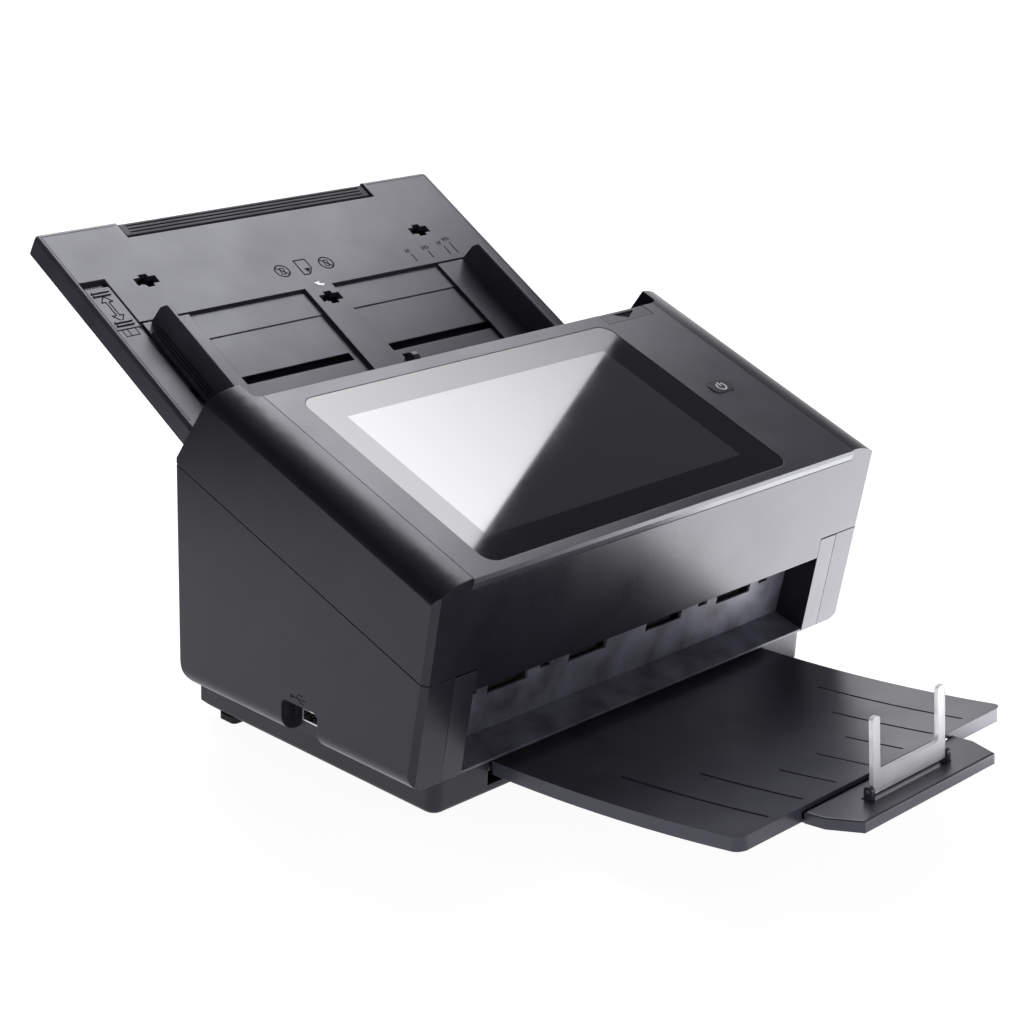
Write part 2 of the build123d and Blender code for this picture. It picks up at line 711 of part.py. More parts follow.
def lower_guide_plate():
    """Lower sheet of the paper path with openings for rollers and sensor."""
    plate = block(-121.5, 121.5, OUTLET_S - 5, TRAY_LOW - 4.2, -2.0, 0.0)
    plate -= block(-24, 24, FEED_S - 10, FEED_S + 10, -9, 9)
    for x in WINDOW_X:
        plate -= block(x - 14, x + 14, INLET_S - 8, INLET_S + 8, -9, 9)
        plate -= block(x - 14, x + 14, OUTLET_S - 8, OUTLET_S + 8, -9, 9)
    s0, s1 = SENSOR_LOW
    plate -= block(-110.3, 110.3, s0 + 1.7, s1 - 1.7, -9, 9)
    rails = block(118.5, 121.5, OUTLET_S + 8, TRAY_LOW - 6, -7.0, -1.0)
    for s in (FEED_S, INLET_S, OUTLET_S):
        rails -= block(110, 125, s - 6, s + 6, -9, -1.9)
    return PATH * (plate + both_sides(rails))


def lower_sensor_module():
    """Contact image sensor bar below the path."""
    s0, s1 = SENSOR_LOW
    bar = block(-116, 116, s0, s1, -11, -2.05)
    bar -= block(-110.2, 110.2, s0 + 2.2, s1 - 2.2, -3.6, 1)
    return PATH * bar


def lower_sensor_glass():
    """Glass of the lower image sensor."""
    s0, s1 = SENSOR_LOW
    return PATH * block(-110, 110, s0 + 2.3, s1 - 2.3, -3.6, -0.2)


def upper_guide_plate():
    """Upper sheet of the paper path, with end flanges up to the cover."""
    low = 2.6
    plate = block(-117, 117, OUTLET_S - 2, FEED_S - 13, low, low + 2)
    for x in WINDOW_X:
        plate -= block(x - 12, x + 12, INLET_S - 6, INLET_S + 6, -9, 30)
        plate -= block(x - 12, x + 12, OUTLET_S - 6, OUTLET_S + 6, -9, 30)
    s0, s1 = SENSOR_HIGH
    plate -= block(-110.3, 110.3, s0 + 1.7, s1 - 1.7, -9, 30)
    flange = block(115, 117, OUTLET_S - 3.5, FEED_S + 4, low, low + 30)
    plate = PATH * (plate + both_sides(flange))
    for s in (INLET_S, OUTLET_S):
        plate -= x_rod(-120, 120, *path_point(s, 0.9 + IDLE_R), IDLE_SHAFT[1] + SHAFT_FIT)
    return plate


def upper_sensor_module():
    """Contact image sensor bar above the path."""
    s0, s1 = SENSOR_HIGH
    bar = block(-114.8, 114.8, s0, s1, 4.65, 16)
    bar -= block(-110.2, 110.2, s0 + 2.2, s1 - 2.2, -1, 6.2)
    return PATH * bar


def upper_sensor_glass():
    """Glass of the upper image sensor."""
    s0, s1 = SENSOR_HIGH
    return PATH * block(-110, 110, s0 + 2.3, s1 - 2.3, 2.8, 6.2)


def drive_shaft(s, x0, x1):
    """Steel shaft below the path."""
    return x_rod(x0, x1, *path_point(s, -DRIVE_R + 0.5), SHAFT_R)


def drive_tyres(s, centres, wide):
    """Rubber sleeves on a driven shaft."""
    y, z = path_point(s, -DRIVE_R + 0.5)
    tyres = Part()
    for x in centres:
        tyre = x_rod(x - wide / 2, x + wide / 2, y, z, DRIVE_R)
        tyres += tyre - x_rod(x - wide, x + wide, y, z, SHAFT_R)
    return tyres


def idler_set(s, centres, wide):
    """Idler rollers on one shaft above the path."""
    y, z = path_point(s, 0.9 + IDLE_R)
    half, radius = IDLE_SHAFT
    shape = x_rod(-half, half, y, z, radius)
    for x in centres:
        shape += x_rod(x - wide / 2, x + wide / 2, y, z, IDLE_R)
    return shape


def separation_roller():
    """Separation roller that faces the feed roller."""
    y, z = path_point(FEED_S - 1, 0.9 + 9.0)
    core = x_rod(-22, 22, y, z, 9.0)
    for x in (-14.5, 0, 14.5):
        core -= x_rod(x - 0.6, x + 0.6, y, z, 20) - x_rod(x - 0.6, x + 0.6, y, z, 8.2)
    return core + x_rod(-30, 30, y, z, 2.0)


def separation_bracket():
    """Arms under the top plate that hold the separation roller's shaft."""
    y, z = path_point(FEED_S - 1, 0.9 + 9.0)
    arm = block(26, 29, y - 4, ENTRY_Y - WALL, z - 4, z + 16)
    arm += block(20, 29, y + 9.5, ENTRY_Y - WALL, z + 2, z + 16)
    arms = both_sides(arm)
    return arms - x_rod(-40, 40, y, z, 2.0 + SHAFT_FIT)


def middle_at():
    """Centre of the large gear, between the inlet and outlet shafts."""
    return path_point((INLET_S + OUTLET_S) / 2, -DRIVE_R + 0.5)


def idler_at():
    """Centre of the small gear between the inlet and feed shafts."""
    return path_point((INLET_S + FEED_S) / 2, -DRIVE_R + 0.5)


def motor_at():
    """Centre of the motor's shaft."""
    y, z = middle_at()
    a = radians(MOTOR_DIRECTION)
    return y + 30.0 * cos(a), z + 30.0 * sin(a)


def x_gear(teeth, spot, bore, turn):
    """A module 1 gear on an axis along X, outside the right frame plate."""
    wheel = gear(teeth, 1.0, GEAR_X[1] - GEAR_X[0], bore, turn)
    return Pos(GEAR_X[0], *spot) * Plane.YZ.location * wheel


def gear_train():
    """The five meshed gears by name."""
    slope = PATH_SLOPE
    middle_turn = 0.0
    inlet_turn = mesh_turn(middle_turn, 48, 24, slope)
    outlet_turn = mesh_turn(middle_turn, 48, 24, slope + 180.0)
    idler_turn = mesh_turn(inlet_turn, 24, 12, slope)
    feed_turn = mesh_turn(idler_turn, 12, 24, slope)
    pinion_turn = mesh_turn(middle_turn, 48, 12, MOTOR_DIRECTION)
    n = -DRIVE_R + 0.5
    return {
        "middle_gear": x_gear(48, middle_at(), 2.0, middle_turn),
        "inlet_gear": x_gear(24, path_point(INLET_S, n), SHAFT_R, inlet_turn),
        "outlet_gear": x_gear(24, path_point(OUTLET_S, n), SHAFT_R, outlet_turn),
        "idler_gear": x_gear(12, idler_at(), 2.0, idler_turn),
        "feed_gear": x_gear(24, path_point(FEED_S, n), SHAFT_R, feed_turn),
        "motor_pinion": x_gear(12, motor_at(), 2.0, pinion_turn),
    }


def motor_pinion_with_shaft(pinion):
    """Pinion with the motor shaft that carries it."""
    return pinion + x_rod(FRAME_X[0] - 2, GEAR_X[1] + 0.5, *motor_at(), 2.0)


def drive_motor():
    """Stepper motor inside the right frame plate."""
    y, z = motor_at()
    can = block(88, 119.5, y - 21, y + 21, z - 21, z + 21)
    can = chamfer(can.edges().filter_by(Axis.X), 4.0)
    flange = block(119.5, FRAME_X[0], y - 21, y + 21, z - 21, z + 21)
    flange = chamfer(flange.edges().filter_by(Axis.X), 4.0)
    collar = x_rod(FRAME_X[0] - 0.5, FRAME_X[1], y, z, 11.0)
    body = can + flange + collar
    return body - x_rod(FRAME_X[0] - 2.2, FRAME_X[1] + 1, y, z, 2.6)


def main_board():
    """Main circuit board upright inside the rear cover."""
    board = block(-110, 20, REAR_Y - 8.9, REAR_Y - 7.3, 28, 104)
    chips = ((-70, 80, 22), (-30, 72, 16), (-88, 60, 12), (0, 84, 12), (-45, 94, 10))
    for x, z, size in chips:
        half = size / 2
        board += block(x - half, x + half, REAR_Y - 10.6, REAR_Y - 8.8, z - half, z + half)
    for x in (-100, -60, -20, 10):
        board += Pos(x, REAR_Y - 12.4, 44) * Rot(90, 0, 0) * Cylinder(3.2, 7.2)
    return board


# ---------------------------------------------------------------- input tray


def tray_outline_plate(n0, n1, s0=TRAY_LOW):
    """Full outline of the input tray with rounded upper corners."""
    plate = block(-TRAY_HALF, TRAY_HALF, s0, TRAY_LEN, n0, n1)
    corners = plate.edges().filter_by(Axis.Z).group_by(Axis.Y)[-1]
    return fillet(corners, 3.0)


def cross_hole(x, s):
    """Plus-shaped opening."""
    long_half, short_half, arm = CROSS_SIZE
    long_bar = block(x - long_half, x + long_half, s - arm, s + arm, -9, 9)
    return long_bar + block(x - arm, x + arm, s - short_half, s + short_half, -9, 9)


def input_tray_panel():
    """Upper shell of the input tray: skin, pockets for the guides, slots and rims."""
    panel = tray_outline_plate(BACK_N + 0.05, 0)
    top = panel.faces().sort_by(Axis.Z)[-1].edges()
    panel = fillet(top, TRAY_EDGE_R)
    rim = 3.0
    room = block(-TRAY_HALF + rim, TRAY_HALF - rim, TRAY_LOW + rim, TRAY_LEN - rim, -20, -TRAY_SKIN)
    panel -= room
    x0, x1, s0, s1 = POCKET
    low = TRAY_LOW - 5
    pocket = block(x0, x1, low, s1, -POCKET_DEPTH, 5)
    step = block(x0, x1, low, s1 - 18.6, -POCKET_DEPTH - 0.5, 5)
    slot = block(SLOT_IN, x1, SLOT[0], SLOT[1], -9, 5)
    for cut in (pocket, step, slot):
        panel -= both_sides(cut)
    panel -= block(-NOTCH_HALF, NOTCH_HALF, NOTCH_S, TRAY_LEN + 5, -20, 5)
    for x, s in CROSS_AT:
        panel -= cross_hole(x, s)
    lx0, lx1, ls0, ls1 = LOCK
    panel -= block(lx0, lx1, ls0, ls1, -2.2, 5)
    panel -= block(lx0 + 4, lx1 - 4, ls0 + 4, ls1 - 4, -9, 5)
    panel -= block(*FLAG_SLOT, -9, 5)
    pivot = x_rod(TRAY_HALF - 8, TRAY_HALF + 4.8, TRAY_PIVOT[0], TRAY_PIVOT[1], TRAY_STUD_R)
    ear = block(TRAY_HALF - rim - 1, TRAY_HALF, TRAY_LOW, -6, BACK_N + 0.05, -1)
    panel += both_sides(pivot + ear)
    post = Pos(0, GEAR_SPOT_S, (RACK_N[0] - TRAY_SKIN) / 2) * Cylinder(1.95, -RACK_N[0] - TRAY_SKIN + 0.6)
    return PATH * (panel + post + flag_bearings())


def flag_bearings():
    """Two ears under the skin that carry the sensor lever's axle."""
    x0, x1 = FLAG_SLOT[:2]
    s, n = FLAG_PIVOT
    ears = Part()
    for x in (x0 - 2.0, x1 + 0.4):
        ears += block(x, x + 1.6, s - 2.4, s + 2.4, n - 2.2, 0.1 - TRAY_SKIN)
    return ears - x_rod(x0 - 5, x1 + 5, s, n, 1.0 + SHAFT_FIT)


def input_tray_back():
    """Lower skin of the input tray."""
    back = tray_outline_plate(-TRAY_T, BACK_N)
    back -= block(-NOTCH_HALF, NOTCH_HALF, NOTCH_S + 6, TRAY_LEN + 5, -20, 5)
    for side in (-1, 1):
        bore = x_rod(side * (TRAY_HALF - 9), side * (TRAY_HALF + 9), *TRAY_PIVOT, TRAY_STUD_R)
        back -= bore
    for k in range(5):
        s = 20 + 24 * k
        back -= block(-100, 100, s, s + 1.2, -TRAY_T - 1, -TRAY_T + 0.6)
    for x, s in CROSS_AT:
        back += Pos(x, s, (SCREW_SEAT + BACK_N) / 2 - 0.1) * Cylinder(2.4, SCREW_SEAT - BACK_N + 0.2)
        back -= Pos(x, s, SCREW_SEAT) * Cylinder(0.9, 8.0)
    return PATH * back


def tray_screws():
    """Screws in the cross-shaped openings that join the two skins."""
    screws = Part()
    for x, s in CROSS_AT:
        head = Pos(x, s, SCREW_SEAT + 1.0) * Cylinder(1.7, 2.0)
        screws += head + Pos(x, s, SCREW_SEAT - 1.5) * Cylinder(0.9, 4.0)
    return PATH * screws


def rack(pitch_s, outward, x0, x1):
    """Straight rack bar along X whose teeth at module 1 face the pinion.

    outward is -1 when the bar lies below the pinion's centre and 1 when it lies above.
    """
    crest = pitch_s - outward * 0.8
    valley = pitch_s + outward * 1.2
    back = pitch_s + outward * 4.0
    points = [(x0, back), (x0, valley)]
    first = int((x0 + 1.5) / pi - 0.5)
    last = int((x1 - 1.5) / pi - 0.5)
    for k in range(first, last + 1):
        mid = (k + 0.5) * pi
        points.append((mid - 0.92, valley))
        points.append((mid - 0.40, crest))
        points.append((mid + 0.40, crest))
        points.append((mid + 0.92, valley))
    points += [(x1, valley), (x1, back)]
    face = Pos(0, 0, RACK_N[0]) * make_face(Polyline(*points, close=True))
    return extrude(face, amount=RACK_N[1] - RACK_N[0])


def guide_upper():
    """Fin, base plate and side ridges of the left guide, in the tray's plane."""
    outer = GUIDE_IN + FIN_T
    fin_face = [
        (FIN_LOW, -0.4),
        (FIN_LOW, FIN_H - 5),
        (FIN_LOW + 6, FIN_H),
        (FIN_HIGH - 3, FIN_H),
        (FIN_HIGH, FIN_H - 4),
        (FIN_HIGH + 2, -0.4),
    ]
    fin = side_prism(fin_face, -outer, -GUIDE_IN)
    ridge = fin.edges().filter_by(Axis.Y).group_by(Axis.Z)[-1]
    shape = fillet(ridge, 1.0)
    x_in, x_out = GUIDE_PLATE
    plate = block(-x_out, -x_in, FIN_LOW, FIN_HIGH + 1.5, -POCKET_DEPTH + FIT, -0.3)
    shape += plate
    for k in range(3):
        x = -outer - 1.2 - 1.9 * k
        shape += block(x - 0.55, x + 0.55, FIN_LOW + 4, FIN_HIGH - 6, -0.4, 1.6 - 0.4 * k)
    return shape


def guide(side):
    """Side guide with the web that passes the slot and the rack under the skin."""
    pitch_s = GEAR_SPOT_S + side * RACK_PITCH_R
    back = pitch_s + side * 4.0
    low, high = SLOT[0] + FIT, SLOT[1] - FIT
    if side > 0:
        low = GEAR_SPOT_S - RACK_PITCH_R + 1.6  # clear of the left guide's teeth
    web = block(side * 98, side * 106, low, high, RACK_N[0], -0.5)
    foot_s = (low, back) if side > 0 else (back, high)
    foot = block(side * 98, side * 106, foot_s[0], foot_s[1], RACK_N[0], RACK_N[1])
    bar = rack(pitch_s, side, *sorted((side * 104.0, -side * 9.0)))
    upper = guide_upper() if side < 0 else mirror_x(guide_upper())
    return PATH * (upper + web + foot + bar)


def guide_pinion():
    """Pinion under the skin that makes the two guides move together."""
    wheel = gear(12, 1.0, RACK_N[1] - RACK_N[0], 2.0, 0.0)
    return PATH * Pos(0, GEAR_SPOT_S, RACK_N[0]) * wheel


def input_tray_extension():
    """Sheet that slides out of the tray's upper edge, with a ribbed grip bar."""
    half = NOTCH_HALF - 1.2
    sheet = block(-half, half, SHEET_LOW, TRAY_LEN - 4, -9.0, -7.4)
    boss_x, boss_s = CROSS_AT[1]
    sheet -= block(boss_x - 3.5, boss_x + 3.5, SHEET_LOW - 1, boss_s + 3.5, -10, 0)
    grip = block(-half, half, NOTCH_S + 1.5, TRAY_LEN - 0.8, -9.0, -1.0)
    upper = grip.edges().filter_by(Axis.X).group_by(Axis.Z)[-1]
    grip = fillet(upper, 1.6)
    for k in range(3):
        s = NOTCH_S + 4.2 + 2.4 * k
        grip -= block(-half + 4, half - 4, s, s + 0.9, -1.6, 5)
    return PATH * (sheet + grip)


def tray_lock_slider():
    """Small slider in the recess beside the left guide."""
    x0, x1, s0, s1 = LOCK
    plate = block(x0 + FIT, x1 - FIT, s0 + FIT, s1 - LOCK_TRAVEL - FIT, -1.9, -0.3)
    for s in (s0 + 3.0, s0 + 5.2, s1 - LOCK_TRAVEL - 5.4, s1 - LOCK_TRAVEL - 3.2):
        plate += block(x0 + 2.4, x1 - 2.4, s - 0.5, s + 0.5, -0.4, 0.4)
    hook = block(x0 + 5, x1 - 5, s0 + 6, s1 - 14, -5.2, -1.5)
    return PATH * (plate + hook)


def paper_flag():
    """Sensor lever whose round tip stands out of the tray."""
    x0, x1, s0, s1 = FLAG_SLOT
    gap = 0.5
    s, n = FLAG_PIVOT
    tip = x_rod(x0 + gap, x1 - gap, s1 - 6.0, -1.2, 4.0)
    arm_face = [(s, n - 1.2), (s, n + 1.6), (s1 - 6, 0.5), (s1 - 3, -2.5)]
    lever = tip + side_prism(arm_face, x0 + gap, x1 - gap)
    hub = x_rod(x0 + gap, x1 - gap, s, n, 2.0)
    axle = x_rod(x0 - 2, x1 + 2, s, n, 1.0)
    return PATH * (lever + hub + axle)


# ---------------------------------------------------------------- exit tray


def exit_z(s):
    """Height of the tray's curved top over the straight line between its ends."""
    half = EXIT_LEN / 2
    return -EXIT_SAG * (1 - ((s - half) / half) ** 2)


def exit_curve(depth, s0, s1):
    """YZ points of the tray's sagging surface, in the exit frame (y is -s)."""
    steps = 12
    points = []
    for k in range(steps + 1):
        s = s0 + (s1 - s0) * k / steps
        points.append((-s, exit_z(s) - depth))
    return points


def exit_slab(depth0, depth1, s0, s1, half):
    """Curved slab between two depths below the tray's surface."""
    upper = Spline(*exit_curve(depth0, s0, s1))
    lower = Spline(*exit_curve(depth1, s0, s1))
    edges = [upper, lower, Line(upper @ 0, lower @ 0), Line(upper @ 1, lower @ 1)]
    outline = Plane.YZ.offset(-half) * make_face(edges)
    return extrude(outline, amount=2 * half)


def exit_tray():
    """Curved exit tray with shallow grooves, side rims and its hinge knuckles."""
    tray = exit_slab(0, EXIT_T, -2.0, EXIT_LEN, EXIT_HALF)
    corners = tray.edges().filter_by(Axis.Z, tolerance=20).group_by(Axis.Y)[0]
    tray = fillet(corners, 5.0)
    tray -= exit_slab(2.4, EXIT_T + 3, 2.0, EXIT_LEN - 3.0, EXIT_HALF - 3.0)
    for x in (-72.0, 72.0):
        rib = exit_slab(2.0, EXIT_T, 1.0, EXIT_LEN - 2.0, 0.8)
        tray += Pos(x, 0, 0) * rib
    for x, s0 in GROOVES:
        for side in (-1, 1) if x else (1,):
            cut = exit_slab(-0.5, 0.55, s0, GROOVE_END, 0.7)
            tray -= Pos(side * x, 0, 0) * cut
    mouth_half = EXIT_EXT_HALF + 0.6
    tray -= block(-mouth_half, mouth_half, -EXIT_LEN - 5, -EXIT_LEN + 5, -20, -2.4)
    tray = EXIT * tray
    py, pz = EXIT_PIVOT
    for x in (-90.0, -45.0, 45.0, 90.0):
        arm = side_prism([(-77.5, 14.6), (-77.5, 19.6), (py, pz + 3.0), (py, pz - 3.0)], x - 5, x + 5)
        tray += arm + x_rod(x - 5, x + 5, py, pz, 3.0)
    return tray - x_rod(-120, 120, py, pz, 1.6 + SHAFT_FIT)


def exit_carriage():
    """Cross bar that runs in the pan's rails and carries the exit tray's hinge."""
    py, pz = EXIT_PIVOT
    bar = block(-EXIT_HALF, EXIT_HALF, py + 4.0, py + 10.0, pz - 6.0, pz + 4.0)
    rod = x_rod(-EXIT_HALF, EXIT_HALF, py, pz, 1.6)
    for x in (-98.0, -67.0, -20.0, 20.0, 67.0, 98.0):
        bar += block(x - 2, x + 2, py - 2.4, py + 5.0, pz - 2.6, pz + 2.6)
    return bar + rod


def exit_tray_extension():
    """Flat plate that slides out of the exit tray and carries the paper stop."""
    half = EXIT_EXT_HALF
    outline = Polyline(
        (-half, -46.0),
        (-half, -155.0),
        (-half + 7.0, -171.0),
        (half - 7.0, -171.0),
        (half, -155.0),
        (half, -46.0),
        close=True,
    )
    plate = Pos(0, 0, -7.4) * extrude(make_face(outline), amount=1.8)
    lip_line = Polyline(
        (-half, -EXIT_LEN - 0.8),
        (-half, -155.0),
        (-half + 7.0, -171.0),
        (half - 7.0, -171.0),
        (half, -155.0),
        (half, -EXIT_LEN - 0.8),
        close=True,
    )
    lip = Pos(0, 0, -7.6) * extrude(make_face(lip_line), amount=5.4)
    rounded = lip.faces().sort_by(Axis.Z)[-1].edges()
    lip = fillet(rounded, 0.8)
    shape = plate + lip
    shape -= block(-STOP_HALF - 3.4, STOP_HALF + 3.4, -STOP_S - 2.6, -STOP_S + 3.4, -3.6, 5)
    for side in (-1, 1):
        x = side * (STOP_HALF + 1.6)
        post = block(x - 1.2, x + 1.2, -STOP_S - 2.2, -STOP_S + 2.2, -3.7, 3.8)
        shape += fillet(post.edges().filter_by(Axis.X).group_by(Axis.Z)[-1], 1.8)
    shape -= x_rod(-60, 60, -STOP_S, STOP_N, STOP_PIN_R)
    return EXIT * shape


def stop_pins():
    """Two pins that hold the paper stop."""
    pin = x_rod(STOP_HALF - 3.5, STOP_HALF + 3.0, -STOP_S, STOP_N, STOP_PIN_R)
    return EXIT * both_sides(pin)


def paper_stop():
    """Clear U-shaped stop that stands up at the tray's end."""
    thick = 2.2
    low = STOP_N - 1.9
    plate = block(-STOP_HALF, STOP_HALF, -STOP_S - thick / 2, -STOP_S + thick / 2, low, STOP_H)
    window = block(-STOP_HALF + 5.2, STOP_HALF - 5.2, -200, -100, low + 9.5, STOP_H + 5)
    window = fillet(window.edges().filter_by(Axis.Y).group_by(Axis.Z)[0], 2.5)
    plate -= window
    ends = plate.edges().filter_by(Axis.Y).group_by(Axis.Z)[-1]
    plate = fillet(ends, 1.8)
    plate -= x_rod(-60, 60, -STOP_S, STOP_N, STOP_PIN_R + SHAFT_FIT)
    return EXIT * plate


# ---------------------------------------------------------------- all pieces


def build():
    """Every piece by node name."""
    gears = gear_train()
    parts = {
        "upper_cover": upper_cover(),
        "left_side_cover": side_cover(-1),
        "right_side_cover": side_cover(1),
        "left_front_trim": front_trim(-1),
        "right_front_trim": front_trim(1),
        "upper_hinge_pins": hinge_pins(),
        "rear_cover": rear_cover(),
        "rear_sockets": rear_sockets(),
        "usb_host_port": usb_host_port(),
        "exit_cavity_liner": exit_cavity_liner(),
        "base_pan": base_pan(),
        "rubber_feet": rubber_feet(),
        "base_screws": base_screws(),
        "display_bezel": display_bezel(),
        "touch_glass": touch_glass(),
        "display_module": display_module(),
        "display_board": display_board(),
        "power_button": power_button(),
        "release_button": release_button(),
        "left_frame_plate": frame_plate(-1),
        "right_frame_plate": frame_plate(1),
        "roller_bushes": roller_bushes(),
        "lower_guide_plate": lower_guide_plate(),
        "lower_sensor_module": lower_sensor_module(),
        "lower_sensor_glass": lower_sensor_glass(),
        "upper_guide_plate": upper_guide_plate(),
        "upper_sensor_module": upper_sensor_module(),
        "upper_sensor_glass": upper_sensor_glass(),
        "feed_shaft": drive_shaft(FEED_S, -126, GEAR_X[1]),
        "feed_tyres": drive_tyres(FEED_S, (-14, 14), 16),
        "feed_gear": gears["feed_gear"],
        "inlet_shaft": drive_shaft(INLET_S, -126, GEAR_X[1]),
        "inlet_tyres": drive_tyres(INLET_S, WINDOW_X, 22),
        "inlet_gear": gears["inlet_gear"],
        "outlet_shaft": drive_shaft(OUTLET_S, -126, GEAR_X[1]),
        "outlet_tyres": drive_tyres(OUTLET_S, WINDOW_X, 22),
        "outlet_gear": gears["outlet_gear"],
        "middle_gear": gears["middle_gear"],
        "idler_gear": gears["idler_gear"],
        "motor_pinion": motor_pinion_with_shaft(gears["motor_pinion"]),
        "drive_motor": drive_motor(),
        "separation_roller": separation_roller(),
        "separation_bracket": separation_bracket(),
        "inlet_idlers": idler_set(INLET_S, WINDOW_X, 18),
        "outlet_idlers": idler_set(OUTLET_S, WINDOW_X, 18),
        "main_board": main_board(),
        "input_tray_panel": input_tray_panel(),
        "input_tray_back": input_tray_back(),
        "tray_screws": tray_screws(),
        "left_guide": guide(-1),
        "right_guide": guide(1),
        "guide_pinion": guide_pinion(),
        "input_tray_extension": input_tray_extension(),
        "tray_lock_slider": tray_lock_slider(),
        "paper_flag": paper_flag(),
        "exit_carriage": exit_carriage(),
        "exit_tray": exit_tray(),
        "exit_tray_extension": exit_tray_extension(),
        "paper_stop_pins": stop_pins(),
        "paper_stop": paper_stop(),
    }
    return parts


def export(parts):
    """Write one STEP per piece, with the origin under the middle of the whole object."""
    boxes = [shape.bounding_box() for shape in parts.values()]
    middle_y = (min(b.min.Y for b in boxes) + max(b.max.Y for b in boxes)) / 2
    os.makedirs("parts", exist_ok=True)
    print("nodes", len(parts), "y shift", round(-middle_y, 4))
    for name, shape in parts.items():
        export_step(Pos(0, -middle_y, 0) * shape, f"parts/{name}.step")


if __name__ == "__main__":
    export(build())
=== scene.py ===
import json
from math import cos, pi, radians, sin

import bmesh
import bpy
from mathutils import Matrix, Vector


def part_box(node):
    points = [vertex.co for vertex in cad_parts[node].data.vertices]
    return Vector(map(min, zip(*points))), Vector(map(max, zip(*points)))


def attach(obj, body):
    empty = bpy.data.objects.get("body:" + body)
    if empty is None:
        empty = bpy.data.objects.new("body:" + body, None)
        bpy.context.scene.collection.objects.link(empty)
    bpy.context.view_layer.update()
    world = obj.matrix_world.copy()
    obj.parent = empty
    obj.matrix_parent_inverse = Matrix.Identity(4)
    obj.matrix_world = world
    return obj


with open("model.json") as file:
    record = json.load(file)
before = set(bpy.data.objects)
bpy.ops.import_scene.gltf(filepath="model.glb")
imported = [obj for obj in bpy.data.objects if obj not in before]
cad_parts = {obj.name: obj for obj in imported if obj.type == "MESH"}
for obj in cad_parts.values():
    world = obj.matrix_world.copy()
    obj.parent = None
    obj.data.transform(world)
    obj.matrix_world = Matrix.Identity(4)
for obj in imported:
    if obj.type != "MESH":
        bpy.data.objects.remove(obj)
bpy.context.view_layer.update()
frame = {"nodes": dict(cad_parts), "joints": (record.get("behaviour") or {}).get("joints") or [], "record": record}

MM = 0.001

# Slopes of the two working planes, in degrees
TOP_SLOPE = 19.5
TRAY_SLOPE = 30.0

# Known places on the planes, in millimetres up the slope (s) and above the surface (n)
GLASS_MIDDLE = (72.5, -1.2)
TRAY_PIVOT = (-14.0, -8.0)

# Corners (x, s) of the display's visible area
DISPLAY_CORNER = (-108.4, 21.8)
DISPLAY_FAR = (69.1, 120.4)


# ---------------------------------------------------------------- frames of the two planes


def joint(name):
    """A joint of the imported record."""
    return next(j for j in frame["joints"] if j["name"] == name)


def plane_frame(point, at, up, normal):
    """Function that turns (x, s, n) in millimetres on a sloping plane into a place."""

    def place(x, s, n=0.0):
        return point + Vector((x, 0, 0)) * MM + up * (s - at[0]) * MM + normal * (n - at[1]) * MM

    return place


def top_frame():
    """The top plate, from the middle of the touch glass's box."""
    a = radians(TOP_SLOPE)
    low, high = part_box("touch_glass")
    middle = (low + high) / 2
    middle.x = 0.0
    up = Vector((0, cos(a), sin(a)))
    return plane_frame(middle, GLASS_MIDDLE, up, Vector((0, -sin(a), cos(a))))


def tray_frame():
    """The input tray, from its pivot."""
    a = radians(TRAY_SLOPE)
    pivot = Vector(joint("input_tray_fold")["pos_m"])
    return plane_frame(pivot, TRAY_PIVOT, Vector((0, cos(a), sin(a))), Vector((0, -sin(a), cos(a))))


TOP = top_frame()
TRAY = tray_frame()


# ---------------------------------------------------------------- materials

# Middle range of a noise texture's values
NOISE_LOW = 0.3
NOISE_HIGH = 0.7

# Sizes of the uneven colour and gloss, in cycles per metre
CLOUD_SCALE = 60.0
SMEAR_SCALE = 22.0
METAL_SCALE = 300.0
GLASS_SMEAR_SCALE = 35.0
FROST_SCALE = 120.0

GRAIN_DEPTH = 0.0001
PLASTIC_TINT = (0.90, 0.91, 1.0, 1.0)  # faint blue of the gloss on every plastic
BORDER_COLOUR = (0.004, 0.004, 0.006)
DISPLAY_COLOUR = (0.022, 0.022, 0.028)


def new_material(name):
    """A material with an empty node tree but for the shader and the output."""
    mat = bpy.data.materials.new(name)
    mat.use_nodes = True
    nodes = mat.node_tree.nodes
    return mat, nodes, mat.node_tree.links, nodes["Principled BSDF"]


def noise(nodes, links, coords, scale, detail=3.0, rough=0.5):
    """A noise texture in object coordinates, in cycles per metre."""
    tex = nodes.new("ShaderNodeTexNoise")
    tex.inputs["Scale"].default_value = scale
    tex.inputs["Detail"].default_value = detail
    tex.inputs["Roughness"].default_value = rough
    links.new(coords, tex.inputs["Vector"])
    return tex.outputs["Fac"]


def spread(nodes, links, source, low, high, start=NOISE_LOW, end=NOISE_HIGH):
    """Maps start..end, by default a noise's middle range, to low..high."""
    ramp = nodes.new("ShaderNodeMapRange")
    ramp.inputs["From Min"].default_value = start
    ramp.inputs["From Max"].default_value = end
    ramp.inputs["To Min"].default_value = low
    ramp.inputs["To Max"].default_value = high
    links.new(source, ramp.inputs["Value"])
    return ramp.outputs["Result"]


def tint(nodes, links, source, dark, light):
    """Mixes two colours by a factor."""
    mix = nodes.new("ShaderNodeMix")
    mix.data_type = "RGBA"
    mix.inputs["A"].default_value = (*dark, 1.0)
    mix.inputs["B"].default_value = (*light, 1.0)
    links.new(source, mix.inputs["Factor"])
    return mix.outputs["Result"]


